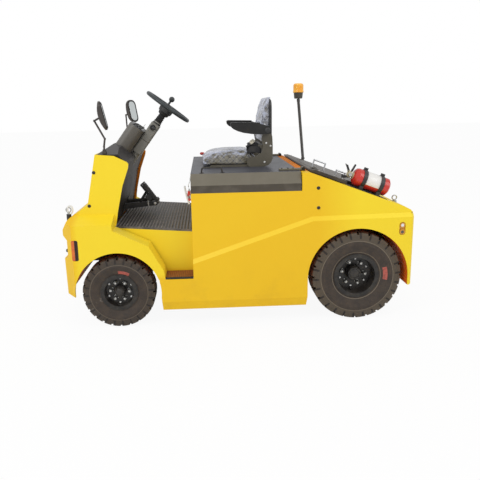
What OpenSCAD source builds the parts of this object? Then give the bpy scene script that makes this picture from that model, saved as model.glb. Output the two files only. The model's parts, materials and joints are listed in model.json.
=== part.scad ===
/* [Body] */
// Distance from the front arch to the tip of the nose
nose_lip = 71; // [50:1:90]
// Distance from the rear arch to the rear plate
tail_lip = 26; // [22:1:40]
// Overall width of the body over the fenders
body_w = 1200; // [1140:10:1300]
// Thickness of the bodywork sheet
sheet_t = 8; // [5:1:12]
// Ground clearance under the side skirts
skirt_z = 115; // [90:5:160]
// Height of the side panels at the battery cover
panel_top_z = 874; // [850:2:900]
// Height of the front edge of the sloping rear deck
deck_top_z = 988; // [975:1:1000]
// Fall of the rear deck in degrees
deck_slope = 20.8; // [18:0.2:22]
// How far the lower half of each side panel stands proud
crease_d = 18; // [10:1:24]

/* [Cowl] */
// Distance from the fender edge in to the upright cowl
cowl_in = 120; // [90:5:150]
// Height of the cowl at its front edge
cowl_top_z = 1121; // [1090:1:1150]

/* [Coupling] */
// How far the tow coupling stands behind the body
hitch_l = 80; // [60:5:120]

/* [Floor and steps] */
// Height of the side step
step_z = 331; // [300:1:345]
// Width of each side step
step_w = 150; // [130:5:170]
// Height of the floor at its front edge
floor_front_z = 651; // [640:1:660]
// Height of the floor at the seat box
floor_rear_z = 612; // [600:1:620]

/* [Wheels] */
// Distance between the front and rear axles
wheelbase = 1550; // [1450:5:1700]
// Outer radius of the front tyre
front_r = 235; // [225:1:240]
// Width of the front tyre
front_w = 130; // [120:1:135]
// Outer radius of the rear tyre
rear_r = 295; // [285:1:300]
// Width of the rear tyre
rear_w = 175; // [160:1:178]
// Number of lugs round each shoulder of a tyre
lug_n = 24; // [20:2:32]
// Radial clearance of every running fit
run_gap = 0.05; // [0.02:0.01:0.1]

/* [Seat and steering] */
// Width of the seat cushion
seat_w = 460; // [420:10:480]
// Diameter of the steering wheel
wheel_d = 360; // [330:5:380]

/* [Hidden] */

paint = "#f5b818";
dark = "#2b2b2d";
black = "#1a1a1b";
steel = "#b9bcc0";
amber = "#ee8a12";
red = "#c41f1a";
brown = "#6b3a22";

// Clearance shared by neighbouring pieces
seat_gap = 0.3;
big = 3000;
$fn = 48;

// Stations along the body, front is minus X, the driver's left is minus Y
axle_shift = 14;
half_w = body_w / 2;
front_axle_x = -wheelbase / 2 - axle_shift;
rear_axle_x = wheelbase / 2 - axle_shift;
arch_f_r = front_r + 40;
arch_f = [front_axle_x + 2, front_r];
arch_f_end = arch_f[0] + arch_f_r;
arch_r_r = rear_r + 33;
arch_r = [rear_axle_x - 1, rear_r];
arch_r_start = arch_r[0] - arch_r_r;
nose_x = front_axle_x - arch_f_r - nose_lip;
rear_x = rear_axle_x + arch_r_r + tail_lip;
tail_x = front_axle_x + 305;
step_l = 179;
box_x = tail_x + step_l;
deck_x = rear_axle_x - 322;
cover_rear_x = deck_x - 51;
upper_y = half_w - crease_d;
inner_y = upper_y - sheet_t;
cowl_y = half_w - cowl_in;
floor_y = half_w - step_w;
rail_z = [rear_r + 75, rear_r + 155];
rail_y = [225, 285];

// Moves a table of points so that its first column counts from station x
function from(x, pts) = [for (p = pts) [x + p[0], p[1]]];

// Places one solid on both sides of the centre plane
module both() {
  children();
  mirror([0, 1, 0]) children();
}

// Extrudes a drawing in the XZ plane from y0 to y1
module slab(y0, y1) {
  translate([0, y1, 0]) rotate([90, 0, 0]) linear_extrude(y1 - y0) children();
}

// Extrudes a drawing in the YZ plane from x0 to x1
module across(x0, x1) {
  translate([x0, 0, 0]) rotate([90, 0, 90]) linear_extrude(x1 - x0) children();
}

// Rectangle w by d round the origin with corners of radius r
module rounded(w, d, r) {
  square([w - 2 * r, d], center = true);
  square([w, d - 2 * r], center = true);
  for (x = [-1, 1], y = [-1, 1]) translate([x * (w / 2 - r), y * (d / 2 - r)]) circle(r = r);
}

// Round bar between two points
module bar(a, b, r) {
  d = b - a;
  l = norm(d);
  translate(a) rotate([0, acos(d[2] / l), atan2(d[1], d[0])]) cylinder(h = l, r = r);
}

// Round bar through a list of points, with a ball at each bend that swells by extra
module wire(pts, r, extra = 0) {
  for (i = [0 : len(pts) - 2]) bar(pts[i], pts[i + 1], r);
  for (i = [1 : len(pts) - 2]) translate(pts[i]) sphere(r = r + extra);
}

// Front body: heights of the nose and its recess, then the shoulders beside the cowl
nose_low = [nose_x + 6, skirt_z + 106];
beak_z = [460, 474, 588, 611, 648];
brow = [nose_x + 48, 722];
recess_in = 34;
hood_x = front_axle_x - 181;
hood_z = 797;
shoulder_z = 690;
shoulder_in_z = 738;
corner_c = 78;
corner_w = 100;
fender_mid = [front_axle_x + 206, front_r + 313];
fender_low = [front_axle_x + 296, front_r + 149];
well_in = half_w - 308;
seam_z = step_z - 6;
cheek_foot_x = front_axle_x - 17;
cheek_foot_z = 655;
floor_x = front_axle_x - 23;
mat_t = 11;

// Height of the top of the mat at a station on the sloping floor
function floor_z(x) = floor_front_z + (x - floor_x) * (floor_rear_z - floor_front_z) / (box_x - floor_x);

// Side view of the nose and fenders, set in by t all round
module front_profile(t = 0) {
  polygon([[nose_low[0] + t, nose_low[1] - t], [nose_x + t, beak_z[0] - t],
    [nose_x + recess_in + t, beak_z[1]], [nose_x + recess_in + t, beak_z[2]],
    [nose_x + t, beak_z[3] + t], [nose_x + t, beak_z[4]], [brow[0] + t, brow[1]],
    [hood_x + t / 2, hood_z - t], [hood_x + t / 2, shoulder_in_z - t],
    [cheek_foot_x, shoulder_in_z - t], [cheek_foot_x, cheek_foot_z - t],
    [fender_mid[0] - t, fender_mid[1] - t], [fender_low[0] - t, fender_low[1]],
    [tail_x - t, step_z - t], [tail_x - t, nose_low[1] - t]]);
}

// Plan view with the chamfered nose corners
module front_plan(t = 0) {
  polygon([[nose_x + t, half_w - corner_w], [nose_x + corner_c + t, half_w - t],
    [tail_x, half_w - t], [tail_x, t - half_w], [nose_x + corner_c + t, t - half_w],
    [nose_x + t, corner_w - half_w]]);
}

// Front view with the sloping shoulders beside the cowl
module front_section(t = 0) {
  polygon([[half_w - t, 0], [half_w - t, shoulder_z - t / 2], [cowl_y - t, shoulder_in_z - t],
    [cowl_y - t, hood_z], [t - cowl_y, hood_z], [t - cowl_y, shoulder_in_z - t],
    [t - half_w, shoulder_z - t / 2], [t - half_w, 0]]);
}

module front_solid(t = 0) {
  intersection() {
    slab(-half_w, half_w) front_profile(t);
    linear_extrude(hood_z + 200) front_plan(t);
    across(nose_x, tail_x + 50) front_section(t);
  }
}

// Bore across the body for a wheel arch
module arch_bore(c, r, y0, y1) {
  slab(y0, y1) union() {
    translate(c) circle(r = r);
    translate([c[0] - r, 0]) square([2 * r, c[1]]);
  }
}

module front_body() color(paint) difference() {
  front_solid();
  front_solid(sheet_t);
  both() arch_bore(arch_f, arch_f_r, -half_w - 1, -well_in);
  translate([hood_x + sheet_t, -cowl_y + sheet_t, 0]) cube([600, 2 * (cowl_y - sheet_t), big]);
  translate([-big / 2, -half_w - 1, 0]) cube([big, body_w + 2, nose_low[1]]);
  translate([front_axle_x, -half_w - 1, 0]) cube([400, body_w + 2, seam_z]);
  both() translate([0, -half_w, 0]) lamp_slot(0, lamp_d + 8);
}

// Linings over the wheels and the boards beside the floor
board = from(arch_f_end, [[-11, seam_z], [-48, front_r + 217], [-128, front_r + 285]]);
rear_liner_in = rail_y[1] + 15;
module arch_liners() color(paint) both() {
  intersection() {
    difference() {
      arch_bore(arch_f, arch_f_r + sheet_t, -half_w + sheet_t, -well_in);
      arch_bore(arch_f, arch_f_r, -half_w, -well_in + 1);
      translate([-big / 2, -half_w, 0]) cube([big, body_w, seam_z]);
    }
    front_solid(sheet_t);
  }
  slab(-floor_y - sheet_t, -floor_y)
    polygon([[floor_x, floor_z(floor_x) - mat_t], [box_x - seat_gap, floor_z(box_x) - mat_t],
      [box_x - seat_gap, seam_z], board[0], board[1], board[2], [floor_x, front_r + 305]]);
  difference() {
    arch_bore(arch_r, arch_r_r + sheet_t, sheet_t + seat_gap - half_w, -rear_liner_in);
    arch_bore(arch_r, arch_r_r, -half_w, 1 - rear_liner_in);
    translate([-big / 2, -half_w, -big]) cube([big, body_w, big + tail_low_z]);
  }
}

lamp_x = nose_x + 94;
lamp_z = 533;
lamp_size = [42, 134];
lens_w = 24;
lamp_d = 20;

// Upright slot with round ends for a turn lamp, from the body's side inwards
module lamp_slot(g, depth) {
  translate([lamp_x, 0, lamp_z]) rotate([90, 0, 0]) translate([0, 0, -depth])
    linear_extrude(depth + 1) rounded(lamp_size[0] - 2 * g, lamp_size[1] - 2 * g, 11 - g);
}

// A turn lamp in its slot: a body and a raised lens along its front edge
module turn_lamp() color(amber) translate([0, -half_w + 4, 0]) {
  lamp_slot(seat_gap, lamp_d);
  translate([lamp_x - (lamp_size[0] - lens_w) / 2 + 3, 3, lamp_z]) rotate([90, 0, 0])
    linear_extrude(8) rounded(lens_w, lamp_size[1] - 10, 8);
}
module turn_lamp_left() turn_lamp();
module turn_lamp_right() mirror([0, 1, 0]) turn_lamp();

// Cowl: side cheek, x from the front axle
cheek = from(front_axle_x, [[-181 + seat_gap, hood_z], [-114, cowl_top_z], [4, cowl_top_z - 11],
  [83, cowl_top_z - 51], [93, cowl_top_z - 63], [89, cowl_top_z - 91], [47, 916],
  [6, shoulder_in_z], [-181 + seat_gap, shoulder_in_z]]);
cowl_front = cheek[1][0];

module cowl() color(paint) {
  both() slab(-cowl_y, sheet_t - cowl_y) polygon(cheek);
  slab(sheet_t - cowl_y, cowl_y - sheet_t)
    polygon([[cheek[0][0], hood_z - 40], cheek[0], cheek[1],
      [cowl_front + sheet_t, cowl_top_z], [hood_x + sheet_t, hood_z], [hood_x + sheet_t, hood_z - 40]]);
}

// Dash: roof and board between the cheeks, raised to a flat under the pod
liner_t = 10;
liner_y = cowl_y - sheet_t - seat_gap;
pod_w = 260;
hump_h = 44;
dash_x = cowl_front + sheet_t + 1;
dash_rear = from(front_axle_x, [[73, cowl_top_z - 50], [77, cowl_top_z - 65], [67, cowl_top_z - 93],
  [25, 916], [-29, floor_front_z]]);
dash_ridge = from(front_axle_x, [[-56, cowl_top_z + hump_h - 2], [4, cowl_top_z + 25]]);

// Height of the sloping sides of the dash roof
function gable_z(y) = cowl_top_z - 2 + (liner_y - y) * hump_h / (liner_y - pod_w / 2);

module dash_profile(t) polygon([[dash_x - t, cowl_top_z - 2 - t], dash_ridge[0] - [0, t],
  dash_ridge[1] - [t / 2, t], dash_rear[0] - [t, t / 2], dash_rear[1] - [t, 0],
  dash_rear[2] - [t, 0], dash_rear[3] - [t, 0], dash_rear[4] - [t, t],
  [dash_x - t, floor_front_z - t]]);

module dash_solid(t) intersection() {
  slab(-liner_y - t, liner_y + t) dash_profile(t);
  across(-big, big) polygon([[-liner_y - t, 0], [-liner_y - t, gable_z(liner_y + t) - t],
    [-pod_w / 2, gable_z(pod_w / 2) - t], [pod_w / 2, gable_z(pod_w / 2) - t],
    [liner_y + t, gable_z(liner_y + t) - t], [liner_y + t, 0]]);
}

module cowl_liner() color(dark) difference() {
  dash_solid(0);
  dash_solid(liner_t);
  on_column() translate([0, 0, -600]) cylinder(h = 500, r = column_r + seat_gap);
}

module floor_mat() color(black) {
  y = floor_y + sheet_t;
  slab(-y, y) polygon([[floor_x, floor_z(floor_x)], [box_x - seat_gap, floor_z(box_x)],
    [box_x - seat_gap, floor_z(box_x) - mat_t], [floor_x, floor_z(floor_x) - mat_t]]);
}

// Step plates with a rounded nosing along the outer edge
tread_t = 12;
module step_treads() color(brown) both() {
  y0 = half_w - 6;
  translate([tail_x + 2, -y0, seam_z])
    cube([step_l - 3, y0 - floor_y - sheet_t - 1, tread_t]);
  translate([tail_x + 2, -y0, seam_z + tread_t / 2]) rotate([0, 90, 0])
    cylinder(h = step_l - 3, r = tread_t / 2);
}

box_low_z = step_z - 19;
box_open = [390, step_z + 229];
module seat_box_front() color(paint) {
  y = inner_y - seat_gap;
  difference() {
    translate([box_x, -y, box_low_z]) cube([sheet_t, 2 * y, panel_top_z - box_low_z]);
    translate([box_x - 1, -box_open[0], 0]) cube([sheet_t + 2, 2 * box_open[0], box_open[1]]);
  }
}

// Draw latch for the battery cover on the front of the seat box
latch_y = half_w - 130;
latch_z = panel_top_z - 56;
module cover_latch() color(steel) translate([box_x - seat_gap, -latch_y, latch_z]) {
  translate([-4, -20, 0]) cube([4, 40, 62]);
  translate([-18, 0, 20]) rotate([90, 0, 0]) cylinder(h = 36, r = 5, center = true);
  both() slab(-19, -14) polygon([[-3, 6], [-24, 12], [-24, 26], [-3, 34]]);
  slab(-11, 11) polygon([[-14, 16], [-3.5, 44], [-12, 70], [-18, 69], [-12, 44], [-22, 20]]);
}

// Side panel: height of the crease at the box, behind the seat and at the tail
crease_x = deck_x + 20;
crease_z = [step_z + 118, 707];
tail_low_z = skirt_z + 120;
rear_in = 18;
bevel_h = 26;
fold_z = skirt_z + 58;
fold_in = 14;
tail_top_x = rear_x - 58;
tail_fall = 37;
socket_z = [637, 593];
socket_x = rear_x - 78;
socket_r = 17;

// Height of the sloping deck at a station
function deck_z(x) = deck_top_z - (x - deck_x) * tan(deck_slope);
tail_z = deck_z(tail_top_x) - tail_fall;

// Section through the sides, set in by t: proud below z = 0, with a bevel up to it
module crease_section(t) {
  k = -t * tan(atan(crease_d / bevel_h) / 2);
  low = half_w - t;
  top = upper_y - t;
  polygon([[-low, -big], [-low, k - bevel_h], [-top, k], [-top, big],
    [top, big], [top, k], [low, k - bevel_h], [low, -big]]);
}

// The crease rises to its bend, then runs on to the tail
creases = [[[box_x, crease_z[0]], [crease_x, crease_z[1]]], [[crease_x, crease_z[1]], [rear_x, tail_z]]];

// Body between the side surfaces, set in by t, with the crease and the folded skirt
module sides(t) intersection() {
  intersection_for (line = creases)
    translate([line[0][0], 0, line[0][1]])
      rotate([0, -atan((line[1][1] - line[0][1]) / (line[1][0] - line[0][0])), 0])
        across(-big, big) crease_section(t);
  across(-big, big) polygon([[fold_in + t - half_w, skirt_z - t], [t - half_w, fold_z], [t - half_w, big],
    [half_w - t, big], [half_w - t, fold_z], [half_w - fold_in - t, skirt_z - t]]);
}

// Outline of the whole side panel with both arches cut
module panel_outline() {
  difference() {
    polygon([[arch_f_end + 5, skirt_z], [arch_r_start - 7, skirt_z], [arch_r_start + 6, tail_low_z],
      [rear_x - rear_in, tail_low_z], [rear_x - rear_in, tail_z + 4 + tail_fall * rear_in / 58],
      [tail_top_x, deck_z(tail_top_x)], [deck_x, deck_top_z], [cover_rear_x + 5, deck_top_z],
      [cover_rear_x + 5, panel_top_z], [box_x, panel_top_z], [box_x, seam_z], [arch_f_end - 11, seam_z]]);
    translate(arch_f) circle(r = arch_f_r);
    translate(arch_r) circle(r = arch_r_r);
    translate([arch_r_start, 0]) square([2 * arch_r_r, arch_r[1]]);
    translate([socket_x, (socket_z[0] + socket_z[1]) / 2])
      rounded(2 * socket_r + 6, socket_z[0] - socket_z[1] + 2 * socket_r + 6, socket_r + 2);
  }
}

module side_panel() difference() {
  intersection() {
    sides(0);
    slab(-half_w - 1, -inner_y) panel_outline();
  }
  intersection() {
    sides(sheet_t);
    translate([-big / 2, -inner_y - crease_d - 1, 0]) cube([big, crease_d + 2, big]);
  }
}
module side_panel_left() color(paint) side_panel();
module side_panel_right() color(paint) mirror([0, 1, 0]) side_panel();

// Local frame on the sloping deck: x runs down the slope, z out of it
module on_deck() translate([deck_x, 0, deck_top_z]) rotate([0, deck_slope, 0]) children();

// Hood: wide in front, with a notch for the extinguisher at its rear left corner
hood_far = half_w - 70;
hood_near = half_w - 196;
hood_s = [15, 262, 535];
hood_z0 = 6;
hood_h = 26;
hood_fold = [30, 12];
seal_in = 14;
hood_hinge = [hood_s[2] + 14, 14];
hood_hinge_y = 250;
opening_s = [50, 505];
pin_r = 5;
ear_t = 5;
ear_gap = 1;
knuckle_l = 40;

// Two ears and a pin for a hinge knuckle, on a foot at height low
module hinge_ears(low) {
  l = knuckle_l;
  for (y = [-l / 2 - ear_gap - ear_t, l / 2 + ear_gap]) translate([0, y, 0]) {
    rotate([-90, 0, 0]) cylinder(h = ear_t, r = 10);
    translate([-10, 0, low]) cube([20, ear_t, -low]);
  }
  rotate([90, 0, 0]) cylinder(h = l + 2 * ear_gap + ear_t, r = pin_r, center = true);
}

module rear_deck() color(paint) {
  y = inner_y - seat_gap;
  x0 = cover_rear_x + 5;
  t = sheet_t;
  difference() {
    intersection() {
      slab(-y, y) polygon([[x0, deck_top_z], [deck_x, deck_top_z], [tail_top_x, deck_z(tail_top_x)],
        [rear_x, tail_z], [rear_x, tail_z - t], [tail_top_x - 2, deck_z(tail_top_x) - t],
        [deck_x, deck_top_z - t], [x0 + t, deck_top_z - t], [x0 + t, rail_z[1]], [x0, rail_z[1]]]);
      linear_extrude(big) polygon([[-big, -y], [rear_x - rear_in, -y], [rear_x, rear_in - upper_y],
        [rear_x, upper_y - rear_in], [rear_x - rear_in, y], [-big, y]]);
    }
    on_deck() translate([opening_s[0], 30 - hood_near, -t - 6])
      cube([opening_s[1] - opening_s[0], hood_near + hood_far - 60, t + 12]);
  }
  for (side = [-1, 1]) {
    translate([cover_hinge[0], side * hinge_y, cover_hinge[1]]) hinge_ears(deck_top_z - cover_hinge[1] - 1);
    on_deck() translate([hood_hinge[0], side * hood_hinge_y, hood_hinge[1]]) hinge_ears(-hood_hinge[1] - 1);
  }
}

// Plan of the tail out to half width p, with chamfered corners, set in by t
module tail_plan(p, t) {
  x0 = rear_x - rear_in - (t > 0 ? 1 : 0);
  p0 = p - t * sqrt(2) + (t > 0 ? 1 : 0);
  p1 = p - rear_in - t * (sqrt(2) - 1);
  polygon([[x0, -p0], [rear_x - t, -p1], [rear_x - t, p1], [x0, p0]]);
}

// Tail shell: straight up to the bevel, then drawn in to the upper body
module tail_form(t) {
  top = tail_z - sheet_t - seat_gap;
  bend = tail_z - bevel_h - 1;
  reach = half_w - crease_d * (top - bend) / (tail_z - bend);
  translate([0, 0, tail_low_z - t]) linear_extrude(bend - tail_low_z + t) tail_plan(half_w, t);
  hull() {
    translate([0, 0, bend - 0.01]) linear_extrude(0.01) tail_plan(half_w, t);
    translate([0, 0, top - 0.01 + t / 100]) linear_extrude(0.01) tail_plan(reach, t);
  }
}
module rear_plate() color(paint) difference() {
  tail_form(0);
  tail_form(sheet_t);
}

// Members across the frame rails: columns x, width, half length
members = [[nose_x + 75, 40, 230], [front_axle_x - 60, 120, 230], [tail_x - 116, 50, 230],
  [box_x + 12, 60, inner_y - seat_gap], [cover_rear_x - 58, 50, inner_y - seat_gap],
  [rear_x - 85, 40, 230]];
member_drop = 10;
module chassis_frame() color(dark) {
  rake = (nose_low[0] - nose_x) / (beak_z[0] - nose_low[1]);
  x0 = nose_low[0] + sheet_t - (rail_z[0] - nose_low[1] + sheet_t) * rake + seat_gap;
  h = rail_z[1] - rail_z[0];
  both() translate([x0, -rail_y[1], rail_z[0]])
    cube([rear_x - sheet_t - seat_gap - x0, rail_y[1] - rail_y[0], h]);
  for (m = members) translate([m[0], -m[2], rail_z[0] + member_drop]) cube([m[1], 2 * m[2], h - member_drop]);
}

battery_in = 60;
battery_end = 33;
battery_top = panel_top_z - 24;
module battery() color(dark) {
  x0 = box_x + sheet_t + seat_gap;
  y = half_w - battery_in;
  translate([x0, -y, rail_z[1]]) cube([cover_rear_x - battery_end - x0, 2 * y, battery_top - rail_z[1]]);
}

front_y = half_w - 90;
rear_y = half_w - 108;
king_y = front_y - 80;
king_r = 18;
spindle_r = 22;
beam = [50, 56];
fork_z = 30;
yoke_t = 21.7;

module front_axle() color(dark) {
  difference() {
    union() {
      translate([front_axle_x - beam[0] / 2, -king_y, front_r - beam[1] / 2])
        cube([beam[0], 2 * king_y, beam[1]]);
      both() translate([front_axle_x, -king_y, front_r - fork_z]) cylinder(h = 2 * fork_z, r = 27);
      slab_x = [front_axle_x - 60, front_axle_x + 60];
      across(slab_x[0], slab_x[1]) polygon([[-120, rail_z[0] + member_drop], [-160, front_r + beam[1] / 2],
        [-120, front_r], [120, front_r], [160, front_r + beam[1] / 2], [120, rail_z[0] + member_drop]]);
    }
    both() translate([front_axle_x, -king_y, 0]) cylinder(h = 500, r = king_r + run_gap);
  }
}

arm_l = 120;
link_r = 7;
module knuckle(side) color(black) {
  low = fork_z + seat_gap + yoke_t;
  translate([front_axle_x, side * king_y, front_r]) {
    translate([0, 0, -low]) cylinder(h = 2 * low, r = king_r);
    for (z = [fork_z + seat_gap, -low]) translate([0, 0, z]) {
      cylinder(h = yoke_t, r = 28);
      translate([-28, side > 0 ? 0 : -46, 0]) cube([56, 46, yoke_t]);
    }
    translate([-28, side > 0 ? 34 : -46, -low]) cube([56, 12, 2 * low]);
    rotate([-90 * side, 0, 0]) translate([0, 0, 45]) cylinder(h = 70, r = spindle_r);
    translate([0, -11, -low]) cube([arm_l, 22, 18]);
    translate([arm_l, 0, -low]) cylinder(h = 18, r = 14);
    translate([arm_l, 0, -low - 24]) cylinder(h = 25, r = link_r);
  }
}
module knuckle_left() knuckle(-1);
module knuckle_right() knuckle(1);

module tie_rod() color(steel) {
  x = front_axle_x + arm_l;
  z = front_r - fork_z - yoke_t - 12.6;
  difference() {
    union() {
      bar([x, -king_y + 8, z], [x, king_y - 8, z], 10);
      both() translate([x, -king_y, z - 11]) cylinder(h = 22, r = 15);
    }
    both() translate([x, -king_y, z - 20]) cylinder(h = 40, r = link_r + run_gap);
  }
}

axle_r = 55;
shaft_r = 30;
module rear_axle() color(dark) {
  translate([rear_axle_x, 0, rear_r]) {
    rotate([90, 0, 0]) cylinder(h = 2 * rear_y - 244, r = axle_r, center = true);
    rotate([90, 0, 0]) cylinder(h = 2 * rear_y + 16, r = shaft_r, center = true);
    sphere(r = 125);
    translate([-110, 0, 0]) rotate([0, -90, 0]) cylinder(h = 240, r = 95);
    both() translate([-40, -rail_y[1], 0]) cube([80, rail_y[1] - rail_y[0], rail_z[0] - rear_r]);
  }
}

// Tyre of outer radius r and width w whose beads sit at radius bead, bw either side
lug_w = 14;
lug_d = 16;
module tyre(r, w, bead, bw, lugs) color(black) {
  s = w / 2;
  mid = (bead + r) / 2;
  difference() {
    rotate([90, 0, 0]) rotate_extrude()
      polygon([[bead, -bw], [bead + 17, -bw], [mid, -s], [r - 30, -s * 0.98],
        [r - 5, -s * 0.88], [r, -s * 0.72], [r, s * 0.72], [r - 5, s * 0.88],
        [r - 30, s * 0.98], [mid, s], [bead + 17, bw], [bead, bw]]);
    for (side = [-1, 1], i = [0 : lugs - 1])
      rotate([0, (i + (side > 0 ? 0.5 : 0)) * 360 / lugs, 0])
        translate([-lug_w / 2, side > 0 ? s * 0.45 : -s - 1, r - lug_d]) cube([lug_w, s * 0.55 + 1, 30]);
  }
}

// Dished rim with its capped hub, wheel nuts and rim bolts, open face towards minus Y
nut_r = 13;
bolt_r = 5;
module rim(bead, bw, disc, hub_r, bore_r, hub_l, nuts_r, bolts_r, turn) color(black) {
  f = bw + seat_gap;
  rotate([90, 0, 0]) {
    rotate_extrude()
      polygon([[bore_r, disc - hub_l], [hub_r, disc - hub_l], [hub_r, disc - 8], [bead - 24, disc - 14],
        [bead - 16, -f + 6], [bead - 14, -f - 5], [bead + 14, -f - 5], [bead + 14, -f], [bead - seat_gap, -f],
        [bead - seat_gap, f], [bead + 14, f], [bead + 14, f + 5], [bead - 12, f + 5], [bead - 18, disc + 8],
        [hub_r, disc + 2], [hub_r, disc + 30], [hub_r - 8, disc + 46], [0, disc + 46], [0, disc + 38],
        [bore_r, disc + 38]]);
    for (i = [0 : 5]) {
      rotate(i * 60 + turn) translate([nuts_r, 0, disc]) cylinder(h = 24, r = nut_r, $fn = 6);
      rotate(i * 60 + 30 + turn) translate([bolts_r, 0, disc]) cylinder(h = 13, r = bolt_r);
    }
  }
}

module wheel_at(x, y, r, side) translate([x, side * y, r]) rotate(side > 0 ? 180 : 0) children();
module front_wheel_at(side) wheel_at(front_axle_x, front_y, front_r, side) children();
module rear_wheel_at(side) wheel_at(rear_axle_x, rear_y, rear_r, side) children();
bead_f = 107;
bead_r = 134;
bw_f = 50;
bw_r = 68;
module front_tyre_left() front_wheel_at(-1) tyre(front_r, front_w, bead_f, bw_f, lug_n);
module front_tyre_right() front_wheel_at(1) tyre(front_r, front_w, bead_f, bw_f, lug_n);
module rear_tyre_left() rear_wheel_at(-1) tyre(rear_r, rear_w, bead_r, bw_r, lug_n);
module rear_tyre_right() rear_wheel_at(1) tyre(rear_r, rear_w, bead_r, bw_r, lug_n);
module front_rim(side) front_wheel_at(side)
  rim(bead_f, bw_f, 0, 36, spindle_r + run_gap, 26, 56.5, 74, -3);
module rear_rim(side) rear_wheel_at(side)
  rim(bead_r, bw_r, -16, 50, shaft_r + run_gap, 60, 74, 90, -8);
module front_rim_left() front_rim(-1);
module front_rim_right() front_rim(1);
module rear_rim_left() rear_rim(-1);
module rear_rim_right() rear_rim(1);

// Steering: the column axis leans back towards the driver
col_tilt = 36.87;
column_r = 30;
col_top = [front_axle_x + 325, 0, cowl_top_z + 286];
module on_column() translate(col_top) rotate([0, col_tilt, 0]) children();

rim_r = 13;
hub_low = -40;
module steering_wheel() color(black) on_column() {
  rotate_extrude() translate([wheel_d / 2 - rim_r, 0]) circle(r = rim_r);
  translate([0, 0, hub_low]) cylinder(h = 36, r = 34);
  translate([0, 0, -6]) cylinder(h = 12, r = 26);
  for (a = [0, 120, 240]) rotate(a + 60) translate([0, 0, -12]) linear_extrude(10)
    polygon([[20, -17], [wheel_d / 2 - 20, -9], [wheel_d / 2 - 20, 9], [20, 17]]);
  rotate(96) translate([wheel_d / 2 - 13, 0, 8]) {
    cylinder(h = 40, r = 8);
    translate([0, 0, 46]) sphere(r = 21);
  }
}

// Shroud, shaft and stalks: places along the column from the wheel
shroud = [70, 84];
shroud_s = [-395, -150];
module steering_column() color(dark) on_column() {
  translate([0, 0, shroud_s[1]]) cylinder(h = hub_low - seat_gap - shroud_s[1], r = 20);
  translate([0, 0, shroud_s[1]]) cylinder(h = 22, r = 28);
  translate([0, 0, shroud_s[0]]) linear_extrude(shroud_s[1] - shroud_s[0]) rounded(shroud[0], shroud[1], 14);
  translate([0, 0, -560]) cylinder(h = shroud_s[0] + 561, r = column_r);
  for (side = [-1, 1]) {
    bar([0, side * 30, -188], [6, side * 138, -172], 5);
    translate([6, side * 138, -172]) sphere(r = 8);
  }
}

// Pod with round ends that stands on the dash roof beside the column
pod_e = [-152, -36];
pod_top = -237;
module instrument_pod() color(dark) difference() {
  w = pod_e[1] - pod_e[0];
  on_column() translate([(pod_e[0] + pod_e[1]) / 2, 0, pod_top - 230]) linear_extrude(230)
    rounded(w, pod_w - 4, w / 2 - 4);
  slab(-pod_w, pod_w) dash_profile(-seat_gap);
}

// Station of the dash board at a height
function dash_at(z) = let (a = dash_rear[4], b = dash_rear[3])
  a[0] + (z - a[1]) * (b[0] - a[0]) / (b[1] - a[1]);

// Pedals on arms from the dash board: face outline from the front axle and the floor's front edge
pedal_face = [[121, 221], [229, 69], [238, 76], [131, 229]];
pedal_w = 70;
pedal_arm = [16, 40];
flange_t = 6;
arm_z = floor_front_z + 34;
// Columns y of the middle, drop below the near one
pedal_rows = [[-60, 0], [90, 34]];
module pedals() color(black) {
  x0 = front_axle_x;
  low = arm_z;
  high = arm_z + pedal_arm[1];
  hinge = [x0 + 206, arm_z + 36];
  for (row = pedal_rows) translate([0, row[0], 0]) {
    translate([-row[1], 0, -row[1]]) slab(-pedal_w / 2, pedal_w / 2)
      polygon([for (p = pedal_face) [x0 + p[0], floor_front_z + p[1]]]);
    translate([-row[1], 0, -row[1]]) bar([x0 + 98, 0, high], [x0 + 158, 0, high + 88], 7);
    slab(-pedal_arm[0], pedal_arm[0]) polygon([[dash_at(low) + seat_gap, low],
      [dash_at(high) + seat_gap, high], [x0 + 120, high + 8], hinge + [0, 16], hinge + [20, 6],
      hinge + [16, -12], [x0 + 120, low + 14]]);
    slab(-34, 34) polygon([[dash_at(low - 16) + seat_gap, low - 16], [dash_at(high + 24) + seat_gap, high + 24],
      [dash_at(high + 24) + flange_t, high + 24], [dash_at(low - 16) + flange_t, low - 16]]);
  }
  translate([hinge[0] - 6, pedal_rows[0][0] - 30, hinge[1] - 2]) rotate([-90, 0, 0])
    cylinder(h = pedal_rows[1][0] - pedal_rows[0][0] + 60, r = 7);
}

// Round sockets on a plate behind the slot in each side panel
module side_sockets() color(steel) both() {
  for (z = socket_z) translate([socket_x, -half_w - 2, z]) rotate([-90, 0, 0]) difference() {
    cylinder(h = sheet_t + seat_gap + 6, r = socket_r);
    translate([0, 0, -1]) cylinder(h = 11, r = socket_r - 6);
  }
  translate([socket_x - 32, sheet_t + seat_gap - half_w, socket_z[1] - 43]) cube([64, 4, 130]);
}

// Ring eyes on the nose hood and on the deck
eye_r = 12;
eye_wire = 4;
eye_up = [62, 28];
eye_x = [front_axle_x - 306, rear_x - 81];
eye_y = [half_w - 130, half_w - 150];
module lifting_eye(up, collar) {
  rotate([90, 0, 0]) difference() {
    rotate_extrude() translate([eye_r + eye_wire - 1, 0]) circle(r = eye_wire);
    cylinder(h = 40, r = eye_r, center = true);
  }
  translate([0, 0, -up - 20]) cylinder(h = up + 20 - eye_r - 1, r = 8);
  translate([0, 0, -up - 30]) cylinder(h = collar + 30, r = 15);
}

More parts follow.
